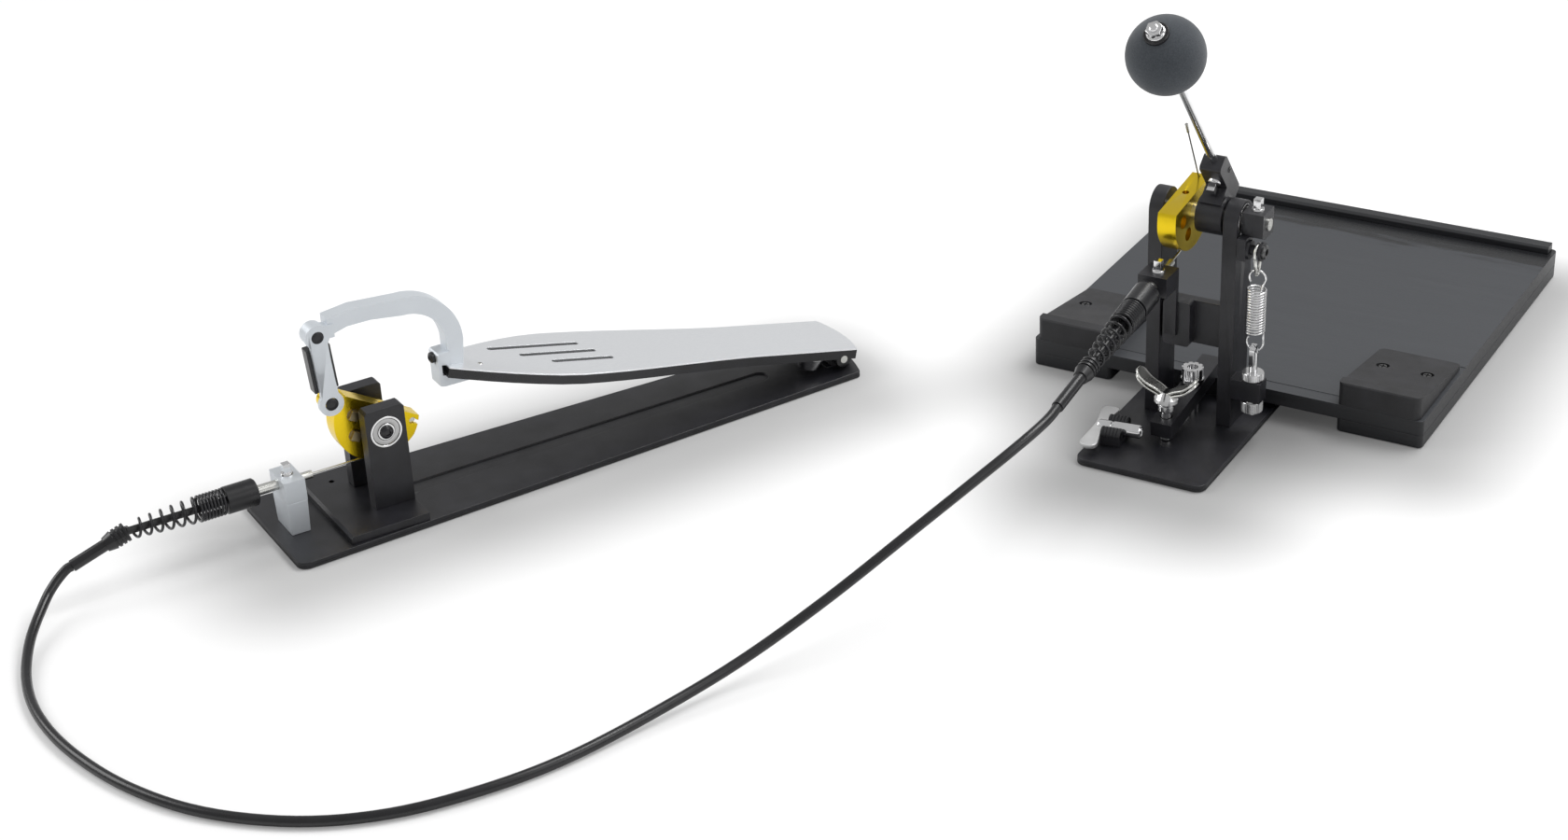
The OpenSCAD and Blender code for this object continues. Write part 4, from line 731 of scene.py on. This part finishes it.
# %% Knurled nuts on the tension rod
SPRING_X = 38
SPRING_Y = -11
TENSION_ROD_AT = at(SPRING_X, SPRING_Y, 0)
THREAD_R = 3.1
HUB_R = 5.6
NUT_R = 8
KNURLS = 36
KNURL_DEPTH = 0.45
# Each nut's knurled rim starts at a foot and has a height, and its hub has its own two ends
NUTS = ((48.2, 5.0, 47, 53.6), (22.4, 7.4, 22.0, 31))

bm = bmesh.new()
for foot, height, hub_foot, hub_top in NUTS:
    prism(bm, [NUT_R, NUT_R, NUT_R - KNURL_DEPTH, NUT_R - KNURL_DEPTH] * KNURLS, height, foot,
          TENSION_ROD_AT)
    lathe(bm, [(THREAD_R, hub_foot), (HUB_R, hub_foot), (HUB_R, foot), (NUT_R - 0.6, foot - 0.3),
               (NUT_R - 0.6, foot + height + 0.3), (HUB_R, foot + height + 0.3), (HUB_R, hub_top),
               (THREAD_R, hub_top)], TENSION_ROD_AT)
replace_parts(made("thumb_nuts", bm, CHROME, "stands", 0), "knurled_nuts")

# %% [markdown]
# ## The ball's fastening
# The felt ball is held by a washer, a hexagon nut and the rod's threaded end. They are
# drawn upright on the rod's axis, and the rod's own place leans them with the beater.

# %% Nut, stud and washer on the ball
BEATER_LEAN = radians(39)
ROD = (Matrix.Translation((0, 0, BEATER_AXLE_Z * MM)) @ Matrix.Rotation(BEATER_LEAN, 4, "X")
       @ Matrix.Translation((0, 0.023, 0)))
BALL_REACH = 179
BALL_R = 27
BALL_TOP = BALL_REACH + BALL_R

bm = bmesh.new()
lathe(bm, [(THREAD_R, BALL_TOP - 3), (8.8, BALL_TOP - 3), (8.8, BALL_TOP + 0.1),
           (8.2, BALL_TOP + 0.7), (THREAD_R, BALL_TOP + 0.7)], ROD)
made("ball_washer", bm, PLASTIC, "beater", 0)
bm = bmesh.new()
lathe(bm, [(THREAD_R, BALL_TOP + 0.6), (6.6, BALL_TOP + 0.6), (6.6, BALL_TOP + 1.4),
           (5.6, BALL_TOP + 2.1), (THREAD_R, BALL_TOP + 2.1)], ROD)
prism(bm, [6.0] * 6, 5.0, BALL_TOP + 1.4, ROD)
lathe(bm, [(0, BALL_TOP + 8.2), (2.4, BALL_TOP + 8.2), (3.05, BALL_TOP + 7.5),
           (3.05, BALL_TOP + 4)], ROD)
made("ball_nut", bm, CHROME, "beater", 0.35)

# %% [markdown]
# ## Small screws
# The roller, the hub and the footboard each show one small socket screw. The heads are
# alike but for their size, so one function turns them: a dished head on the lathe, and a
# hexagon socket, which is a lathe with only six steps.

# %% Roller screw, hub set screw and footboard screw
ROLLER_ARM = 20
ROLLER_Z = BEATER_AXLE_Z - sqrt(ROLLER_ARM ** 2 - SPRING_Y ** 2)
HEEL_X = 461.5
HEEL_Z = 14.6
BOARD_SLOPE = radians(13.2)
BOARD_AT = PEDAL @ at(HEEL_X, 0, HEEL_Z) @ Matrix.Rotation(BOARD_SLOPE, 4, "Y")


def socket_head(bm, r, h, place):
    """A low head with a rounded rim and a hexagon socket."""
    lathe(bm, [(r * 0.5, h * 0.35), (r * 0.5, h), (r * 0.78, h), (r, h * 0.55), (r, 0), (0, 0)],
          place)
    lathe(bm, [(r * 0.5, h * 0.35), (0, h * 0.2)], place, 6)


for name, r, h, place, finish, body, slot_name in (
        ("roller_screw", 5.2, 2.4, at(42, SPRING_Y, ROLLER_Z) @ ALONG_X, STEEL, "beater",
         "black_coat"),
        ("hub_set_screw", 2.2, 0.5, ROD @ at(8, 2, 24) @ ALONG_X, GLOSS, "beater", "black_coat"),
        ("board_screw", 2.0, 0.8, BOARD_AT @ at(-302, -8, 7.6), ZINC, "footboard", "zinc")):
    bm = bmesh.new()
    socket_head(bm, r, h, place)
    made(name, bm, finish, body, 0)

# %% [markdown]
# ## The key's clip
# The drum key rests in two rubber jaws with rings round them. The rings are part of one
# turned profile, so a loop writes its teeth and the lathe does the rest.

# %% Ribs of the key's clip
KEY_REST = at(-57, -66, 13) @ Matrix.Rotation(radians(7), 4, "Z")
JAW_OUT = 9.6
JAW_L = 15
RIBS = 6
RIB_PITCH = 2.5
RIB_R = 4.8
GROOVE_R = 4.1

bm = bmesh.new()
for side in (-1, 1):
    ribs = [(0, 0)]
    for k in range(RIBS):
        x = RIB_PITCH * k
        ribs += [(GROOVE_R, x), (RIB_R, x + 0.5), (RIB_R, x + 1.8), (GROOVE_R, x + 2.3)]
    lathe(bm, ribs + [(GROOVE_R, JAW_L), (0, JAW_L)],
          KEY_REST @ at(4, side * JAW_OUT, 0.3) @ ALONG_X)
made("clip_ribs", bm, RUBBER, "stands", 0.2)

# %% [markdown]
# ## Spring hook
# The hook between roller and spring is bent from one round wire. Its middle line is two
# arcs, a large one round the roller and a small one in the spring's eye, and the smooth
# curve through both draws the straight sides as the bending does.

# %% Spring hook of bent wire
def hook_line():
    """A teardrop in Y and Z round the roller, with its lower end in the spring's eye."""
    line = []
    for k in range(33):
        a = radians(-28 + 236 * k / 32)
        line.append(Vector((0, 6.5 * cos(a), -1.5 + 6.5 * sin(a))))
    for k in range(9):
        a = radians(200 + 140 * k / 8)
        line.append(Vector((0, 2.0 * cos(a), -16.2 + 2.0 * sin(a))))
    return line


HOOK_WIRE = 2.4
ROLLER_AT = Vector((SPRING_X, SPRING_Y, ROLLER_Z))
hook_curve = smooth_line(hook_line() + hook_line()[:1], 2)
hook = round_line("spring_hook_wire", [(ROLLER_AT + p) * MM for p in hook_curve],
                  HOOK_WIRE * MM, ZINC, "hook", 4)
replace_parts(hook, "spring_hook")
print("hook points", len(hook_curve))

# %% [markdown]
# ## Wing screw
# The clamp's screw has two wings stamped from sheet, one over the other, on a turned
# stem. Cut and bent sheet keeps one thickness. So each wing starts as a flat grid that a
# formula bends and rounds, and a Solidify modifier gives it the sheet's thickness.

# %% Wings from bent sheet, and the stem
def sheet(bm, columns, rows, shape, place):
    """A grid whose corners run from -1 to 1 is laid out by the shape function."""
    grid = bmesh.ops.create_grid(bm, x_segments=columns, y_segments=rows, size=1)["verts"]
    for v in grid:
        v.co = Vector(shape(v.co.x, v.co.y)) * MM
    bmesh.ops.transform(bm, matrix=place, verts=grid)


def thicken(piece, thickness):
    """Gives a sheet its thickness in millimetres, half to each side, and eases its rim."""
    solid = piece.modifiers.new("sheet", "SOLIDIFY")
    solid.thickness = thickness * MM
    solid.offset = 0
    round_edges(piece, 0.3)


def round_tip(along, start, length):
    """A factor that is 1 up to the start and then falls to 0 as a round end."""
    return sqrt(max(0.0, 1 - max(0.0, (abs(along) - start) / length) ** 2))


WING_AT = at(-12, -50, 0)
WING_HALF = 23.2
WING_FOOT = 39
WING_RISE = 15.5
WING_T = 1.7
UPPER_WING = 3.4


def wing(lift):
    """One of the two stamped V shapes, rounded at the tips and bent up from the hub."""
    def shape(u, v):
        rise = WING_RISE * abs(u) ** 1.25
        wave = 0.9 * sin(abs(u) * 7)
        half = 6.4 * round_tip(u, 0.82, 0.19) * (0.72 + 0.28 * abs(u))
        return WING_HALF * u, half * v, WING_FOOT + lift + rise + wave
    return shape


bm = bmesh.new()
for lift in (0, UPPER_WING):
    sheet(bm, 48, 6, wing(lift), WING_AT)
thicken(made("wings", bm, ZINC, "wing_screw_body", 0, 60), WING_T)
bm = bmesh.new()
lathe(bm, [(0, 5.3), (3.4, 5.3), (4, 5.9), (4, 29), (5.6, 29), (6.2, 29.8), (6.2, 33.4),
           (5.2, 34.2), (5.2, 35.2), (8.2, 36), (9.2, 37), (9.2, 40.0), (8.2, 41.2), (4.4, 44.6),
           (0, 44.6)], WING_AT)
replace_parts(made("wing_stem", bm, CHROME, "wing_screw_body", 0), "wing_screw")

# %% [markdown]
# ## Drum key
# The key is a flat handle across a turned barrel with a square socket. The handle is a
# sheet like the wings, waisted at the barrel and round at its tips. The barrel is turned,
# with a groove behind its collar, and a dark four sided floor closes its socket.

# %% Handle, barrel and socket of the drum key
KEY_AT = KEY_REST @ ALONG_X
KEY_HALF = 31
KEY_T = 3.2


def handle(u, v):
    """A flat bow that is waisted at the barrel and round at its tips."""
    half = (3.4 + 4.2 * abs(u) ** 1.4) * round_tip(u, 0.8, 0.21)
    return 1.5 * abs(u) ** 2, KEY_HALF * u, -0.5 + half * v


bm = bmesh.new()
sheet(bm, 60, 8, handle, KEY_AT)
thicken(made("key_handle", bm, PALE, "drum_key_body", 0, 60), KEY_T)
bm = bmesh.new()
lathe(bm, [(0, -1), (4.6, -1), (5, 0), (5, 8.5), (4.5, 9), (4.5, 10), (5, 10.5), (5, 30.2),
           (4.4, 31), (3.4, 31), (3.2, 30.4), (3.2, 22)], KEY_AT)
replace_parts(made("key_barrel", bm, CHROME, "drum_key_body", 0), "drum_key")
bm = bmesh.new()
lathe(bm, [(3.2, 24), (0, 24)], KEY_AT, 4)
made("key_socket", bm, STEEL, "drum_key_body", 0)

# %% [markdown]
# ## Pull wires
# The cable's wire lies in each cam's groove and ends in a nipple. When the cam turns, a
# real wire winds on and off. A rigid piece can't do that, so there are two strands side
# by side in the groove: one comes from the clamp and lies still, and one turns with the
# cam. Together they look wound at every pose.

# %% Pull wires and the strands that turn with the cams
PEDAL_SHAFT = PEDAL @ at(PEDAL_AXLE_X, 0, PEDAL_AXLE_Z)
BEATER_SHAFT = at(BEATER_CAM_X, 0, BEATER_AXLE_Z) @ Matrix.Rotation(pi / 2, 4, "Z")
PULL_WIRE = 1.8
TRAVEL = 42
STRAND_OUT = 2.1


def rim_point(r, degrees, side=0.0):
    """A point round an axis along Y, in metres from its centre."""
    return Vector((r * cos(radians(degrees)), side, r * sin(radians(degrees)))) * MM


def arc(shaft, start, stop, side=0.0, steps=40):
    """Points at the wire's radius round a shaft."""
    return [shaft @ rim_point(WIRE_MM, start + (stop - start) * k / steps, side)
            for k in range(steps + 1)]


for name, shaft, end, tangent in (("pedal", PEDAL_SHAFT, PEDAL_END, -90),
                                  ("beater", BEATER_SHAFT, BEATER_END, -90 + RISE_DEG)):
    line = [end @ (Vector((36, 0, 0)) * MM)] + arc(shaft, tangent, tangent + TRAVEL)
    pull_wire = round_line(name + "_pull_wire", line, PULL_WIRE * MM, ZINC, "stands", 3)
    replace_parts(pull_wire, "pull_wires")
for name, shaft, body, start, stop in (
        ("pedal_wire_wrap", PEDAL_SHAFT, "pedal_cam_turning", -47, -20),
        ("beater_wire_wrap", BEATER_SHAFT, "beater", -40, 18)):
    strand = round_line(name + "_strand", arc(shaft, start, stop, -STRAND_OUT), PULL_WIRE * MM,
                        ZINC, body, 3)
    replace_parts(strand, name)
print("wires laid at", WIRE_MM, "mm")

# %% [markdown]
# ## Nipples and the wire's tail
# A turned nipple holds each wire in its cam. On the beater's cam the wire's loose end
# stands up behind it, with a short crimped tip. Both tails are straight lines, because
# the stiff wire is.

# %% Nipples and the free tail of the beater's wire
NIPPLE_AT_R = 28.4
NIPPLE_R = 2.5
NIPPLE_HALF = 5
TAIL_LEAN = radians(27)
TAIL_L = 62
TAIL_TIP_L = 8
beater_tip = BEATER_SHAFT @ rim_point(NIPPLE_AT_R, 22)
pedal_tip = PEDAL_SHAFT @ rim_point(NIPPLE_AT_R, -16)
tail_dir = BEATER_SHAFT.to_3x3() @ Vector((-sin(TAIL_LEAN), 0, cos(TAIL_LEAN)))
tail_end = beater_tip + TAIL_L * MM * tail_dir
tail_tip = beater_tip + (TAIL_L - TAIL_TIP_L) * MM * tail_dir
round_line("wire_tail", [beater_tip, tail_end], 1.1 * MM, STEEL, "beater", 3)
round_line("wire_tail_end", [tail_tip, tail_end], 2.6 * MM, ZINC, "beater", 4)
for unit, tip, turned, body in (("beater", beater_tip, BEATER_SHAFT, "beater"),
                                ("pedal", pedal_tip, PEDAL, "pedal_cam_turning")):
    bm = bmesh.new()
    lathe(bm, [(0, -NIPPLE_HALF), (NIPPLE_R, -NIPPLE_HALF), (NIPPLE_R, NIPPLE_HALF),
               (0, NIPPLE_HALF)], Matrix.Translation(tip) @ turned.to_3x3().to_4x4() @ NEAR)
    made(unit + "_nipple", bm, ZINC, body, 0.3)

# %% [markdown]
# ## Strain relief springs
# A strain relief spring has closed turns on the sleeve and open turns that narrow to the
# cap. A Screw modifier winds an even coil only. So the points follow the winding, with
# the pitch and the radius changing on the way, and a bevel gives the wire its thickness.

# %% Strain relief springs
TURN_STEPS = 24
STRAIN_WIRE = 2.1
STRAIN_R = 20 / 2 - STRAIN_WIRE / 2 - 0.2
STRAIN_END_R = 5.8
CLOSED = 8
CLOSED_PITCH = 2.4
OPEN = 6
OPEN_PITCH = 7.8


def strain_line():
    """Points of the spring from the sleeve's face towards -X, in millimetres."""
    line = [Vector((0, STRAIN_R, 0)), Vector((-STRAIN_WIRE / 2, STRAIN_R, 0))]
    closed = CLOSED * CLOSED_PITCH
    for k in range(3, (CLOSED + OPEN) * TURN_STEPS - 2):
        n = k / TURN_STEPS
        out = n * CLOSED_PITCH if n < CLOSED else closed + (n - CLOSED) * OPEN_PITCH
        r = STRAIN_R if n < CLOSED else STRAIN_R + (STRAIN_END_R - STRAIN_R) * (n - CLOSED) / OPEN
        a = 2 * pi * n
        line.append(Vector((-STRAIN_WIRE / 2 - out, r * cos(a), r * sin(a))))
    line.append(Vector((-SPRING_L / MM + STRAIN_WIRE, STRAIN_END_R, 0)))
    line.append(Vector((-SPRING_L / MM, STRAIN_END_R, 0)))
    return line


for unit, end in (("pedal", PEDAL_END), ("beater", BEATER_END)):
    points = [end @ (Vector((-SLEEVE_L, 0, 0)) + p * MM) for p in strain_line()]
    winding = round_line(unit + "_strain_spring", points, STRAIN_WIRE * MM, GLOSS, "stands",
                         3)
    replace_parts(winding, "strain_springs")
    print(unit, "winding", len(points), "points")

# %% [markdown]
# ## Return spring
# The return spring is an even coil with a round eye at each end, wound from one wire. It
# stretches as the beater swings, which a piece on one body can't do. So the wire becomes
# a mesh.

# %% Return spring
COIL_R = 6.6
COIL_PITCH = 2.1
COIL_TURNS = 17
COIL_L = COIL_TURNS * COIL_PITCH
COIL_WIRE = 1.5
EYE_R = COIL_R - 0.4
EYE_GAP = 1.6
EYE_ARC = 215
COIL_UNDER_ROLLER = 64.5
COIL_AT = Vector((SPRING_X, SPRING_Y, ROLLER_Z - COIL_UNDER_ROLLER))


def return_line():
    """Points of the lower eye, the coil and the upper eye, in millimetres from the coil's foot."""
    line = []
    for k in range(25):
        a = radians(-EYE_ARC * (1 - k / 24))
        line.append(Vector((EYE_R * cos(a) + COIL_R - EYE_R, 0, EYE_R * sin(a) - EYE_R - EYE_GAP)))
    for k in range(3, COIL_TURNS * TURN_STEPS - 2):
        a = 2 * pi * k / TURN_STEPS
        line.append(Vector((COIL_R * cos(a), COIL_R * sin(a), COIL_PITCH * k / TURN_STEPS)))
    for k in range(25):
        a = radians(EYE_ARC * k / 24)
        line.append(Vector((EYE_R * cos(a) + COIL_R - EYE_R, 0,
                            COIL_L + EYE_R * sin(a) + EYE_R + EYE_GAP)))
    return line


wire = bare_line("return_wire", [(COIL_AT + p) * MM for p in return_line()], COIL_WIRE * MM, 3)
bpy.context.view_layer.update()
coil = bpy.data.meshes.new_from_object(wire.evaluated_get(bpy.context.evaluated_depsgraph_get()))
bpy.data.objects.remove(wire)
spring = bpy.data.objects.new("return_coil", coil)
bpy.context.scene.collection.objects.link(spring)
coil.materials.clear()
coil.materials.append(CHROME)
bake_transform(spring)
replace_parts(spring, "return_spring")
print("coil", len(coil.polygons), "faces")

# %% [markdown]
# ## Painted shadows on the floor
# The photograph has a white ground with soft shadows that are darkest beside the base
# plates. Large lamps alone leave them too faint. So soft shadows are painted into the
# floor's tone, darker round each footprint, and the lamps' shadows fall on it as well.

# %% Painted shadow round a footprint
# The piece that stands on the floor, its turn, how dark its painted shadow is and how far it
# reaches
PAINTED_SHADOWS = (("pedal_mat", PEDAL_TURN, 0.42, 0.11), ("stand_mat", 0.0, 0.56, 0.13),
         ("platform_runners", 0.0, 0.50, 0.12))
# The painted shadows lie a little towards the camera, as the light comes from behind the object
SHADOW_SHIFT = 0.03
SHADOW_INSET = 0.01


def painted_shadow(tree, place, name, turn, dark, reach):
    """Painted shadow: the floor's brightness round a footprint, from dark at its edge to 1 further
    out.
    """
    back = Matrix.Rotation(-turn, 3, "Z")
    spots = [back @ (nodes[name].matrix_world @ v.co) for v in nodes[name].data.vertices]
    low = [min(p[k] for p in spots) for k in (0, 1)]
    high = [max(p[k] for p in spots) for k in (0, 1)]
    half = [(b - a) / 2 - SHADOW_INSET for a, b in zip(low, high)]
    towards = Vector((*camera.location.xy, 0)).normalized()
    nearer = back @ (towards * SHADOW_SHIFT)
    turned = add(tree, "VectorRotate", rotation_type="Z_AXIS", Angle=-turn)
    offset = add(tree, "VectorMath", operation="SUBTRACT")
    offset.inputs[1].default_value = ((low[0] + high[0]) / 2 + nearer.x,
                                      (low[1] + high[1]) / 2 + nearer.y, 0)
    side = add(tree, "VectorMath", operation="ABSOLUTE")
    past = add(tree, "VectorMath", operation="SUBTRACT")
    past.inputs[1].default_value = (*half, 0)
    clear = add(tree, "VectorMath", operation="MAXIMUM")
    away = add(tree, "VectorMath", operation="LENGTH")
    fade = add(tree, "MapRange", clamp=True, interpolation_type="SMOOTHSTEP", From_Max=reach,
               To_Min=1 - dark)
    link(tree, (place.outputs["Position"], turned.inputs["Vector"]),
         (turned.outputs[0], offset.inputs[0]),
         (offset.outputs[0], side.inputs[0]), (side.outputs[0], past.inputs[0]),
         (past.outputs[0], clear.inputs[0]), (clear.outputs[0], away.inputs[0]),
         (away.outputs["Value"], fade.inputs["Value"]))
    return fade.outputs["Result"]


print("halos", len(PAINTED_SHADOWS))

# %% [markdown]
# ## Floor
# The floor is one matt square under the object, with all the painted shadows multiplied. To the
# camera it is a little darker but glows, so that it ends in the white of the background.

# %% Floor
FLOOR_TONE = 0.86
TONE_TO_CAMERA = -0.12
GLOW_TO_CAMERA = 0.18
FLOOR_HALF = 12
FLOOR_Z = -0.0005


def make_floor_finish():
    """A matt pale floor with the painted shadows, a little brighter to the camera."""
    finish = bpy.data.materials.new("floor")
    finish.use_nodes = True
    tree = finish.node_tree
    shader = tree.nodes["Principled BSDF"]
    shader.inputs["Roughness"].default_value = 0.9
    shader.inputs["Specular IOR Level"].default_value = 0.0
    place = add(tree, "NewGeometry")
    # The painted shadows round the three footprints darken the floor's tone and its glow
    first, second, third = (painted_shadow(tree, place, *spot) for spot in PAINTED_SHADOWS)
    pair = add(tree, "Math", operation="MULTIPLY")
    shade = add(tree, "Math", operation="MULTIPLY")
    path = add(tree, "LightPath")
    exposed = add(tree, "Math", operation="MULTIPLY_ADD")
    exposed.inputs[1].default_value = TONE_TO_CAMERA
    exposed.inputs[2].default_value = FLOOR_TONE
    tone = add(tree, "Math", operation="MULTIPLY")
    tint = add(tree, "CombineColor")
    faint = add(tree, "Math", operation="MULTIPLY")
    faint.inputs[1].default_value = GLOW_TO_CAMERA
    seen = add(tree, "Math", operation="MULTIPLY")
    glow = add(tree, "Emission")
    both = add(tree, "AddShader")
    link(tree, (first, pair.inputs[0]), (second, pair.inputs[1]),
         (pair.outputs[0], shade.inputs[0]), (third, shade.inputs[1]),
         (path.outputs["Is Camera Ray"], exposed.inputs[0]),
         (shade.outputs[0], tone.inputs[0]), (exposed.outputs[0], tone.inputs[1]),
         *[(tone.outputs[0], tint.inputs[k]) for k in range(3)],
         (tint.outputs[0], shader.inputs["Base Color"]),
         (shade.outputs[0], faint.inputs[0]), (faint.outputs[0], seen.inputs[0]),
         (path.outputs["Is Camera Ray"], seen.inputs[1]),
         (seen.outputs[0], glow.inputs["Strength"]),
         (shader.outputs[0], both.inputs[0]), (glow.outputs[0], both.inputs[1]),
         (both.outputs[0], tree.nodes["Material Output"].inputs["Surface"]))
    return finish


def make_floor():
    """A large flat square just under the object."""
    bm = bmesh.new()
    bmesh.ops.create_grid(bm, x_segments=1, y_segments=1, size=FLOOR_HALF)
    data = bpy.data.meshes.new("floor")
    bm.to_mesh(data)
    bm.free()
    data.materials.append(make_floor_finish())
    floor = bpy.data.objects.new("floor", data)
    floor.location.z = FLOOR_Z
    bpy.context.scene.collection.objects.link(floor)


make_floor()
print("floor", 2 * FLOOR_HALF, "m wide")

# %% [markdown]
# ## World
# A studio has a white backdrop. The world is white to the camera and half as bright to
# everything else, so the background is white without bleaching the object.

# %% World
WORLD_FILL = 0.5


def make_world():
    """A world that is white to the camera and softer to every other ray."""
    world = bpy.data.worlds.new("studio")
    bpy.context.scene.world = world
    world.use_nodes = True
    tree = world.node_tree
    fill = tree.nodes["Background"]
    fill.inputs["Color"].default_value = (1, 1, 1, 1)
    fill.inputs["Strength"].default_value = WORLD_FILL
    white = add(tree, "Background", Color=(1, 1, 1, 1), Strength=1.0)
    path = add(tree, "LightPath")
    mix = add(tree, "MixShader")
    link(tree, (path.outputs["Is Camera Ray"], mix.inputs[0]),
         (fill.outputs[0], mix.inputs[1]), (white.outputs[0], mix.inputs[2]),
         (mix.outputs[0], tree.nodes["World Output"].inputs["Surface"]))


make_world()
print("world fill", WORLD_FILL)

# %% [markdown]
# ## Lamps
# Large soft boxes light the object. The overhead one stands behind it, which draws the soft
# shadows to the front, and the one on the left is stronger than the one on the right.

# %% Lamps
# Each lamp's place and size in metres, and its power in watts
LAMPS = (("overhead", (0.5, 0.9, 2.3), (1.5, 1.2), 46),
         ("left_box", (-2.4, -1.0, 1.6), (1.6, 1.4), 26),
         ("right_box", (2.0, -0.2, 1.5), (1.2, 1.6), 10))
MIDDLE = Vector((-0.15, -0.1, 0.1))


def softbox(name, place, size, power):
    """A large lamp that faces the middle of the object."""
    data = bpy.data.lights.new(name, "AREA")
    data.shape = "RECTANGLE"
    data.size, data.size_y = size
    data.energy = power
    lamp = bpy.data.objects.new(name, data)
    lamp.location = place
    lamp.rotation_euler = (MIDDLE - Vector(place)).to_track_quat("-Z", "Y").to_euler()
    bpy.context.scene.collection.objects.link(lamp)


for lamp in LAMPS:
    softbox(*lamp)
bpy.context.scene.view_settings.view_transform = "Standard"
print("lamps", len(LAMPS))
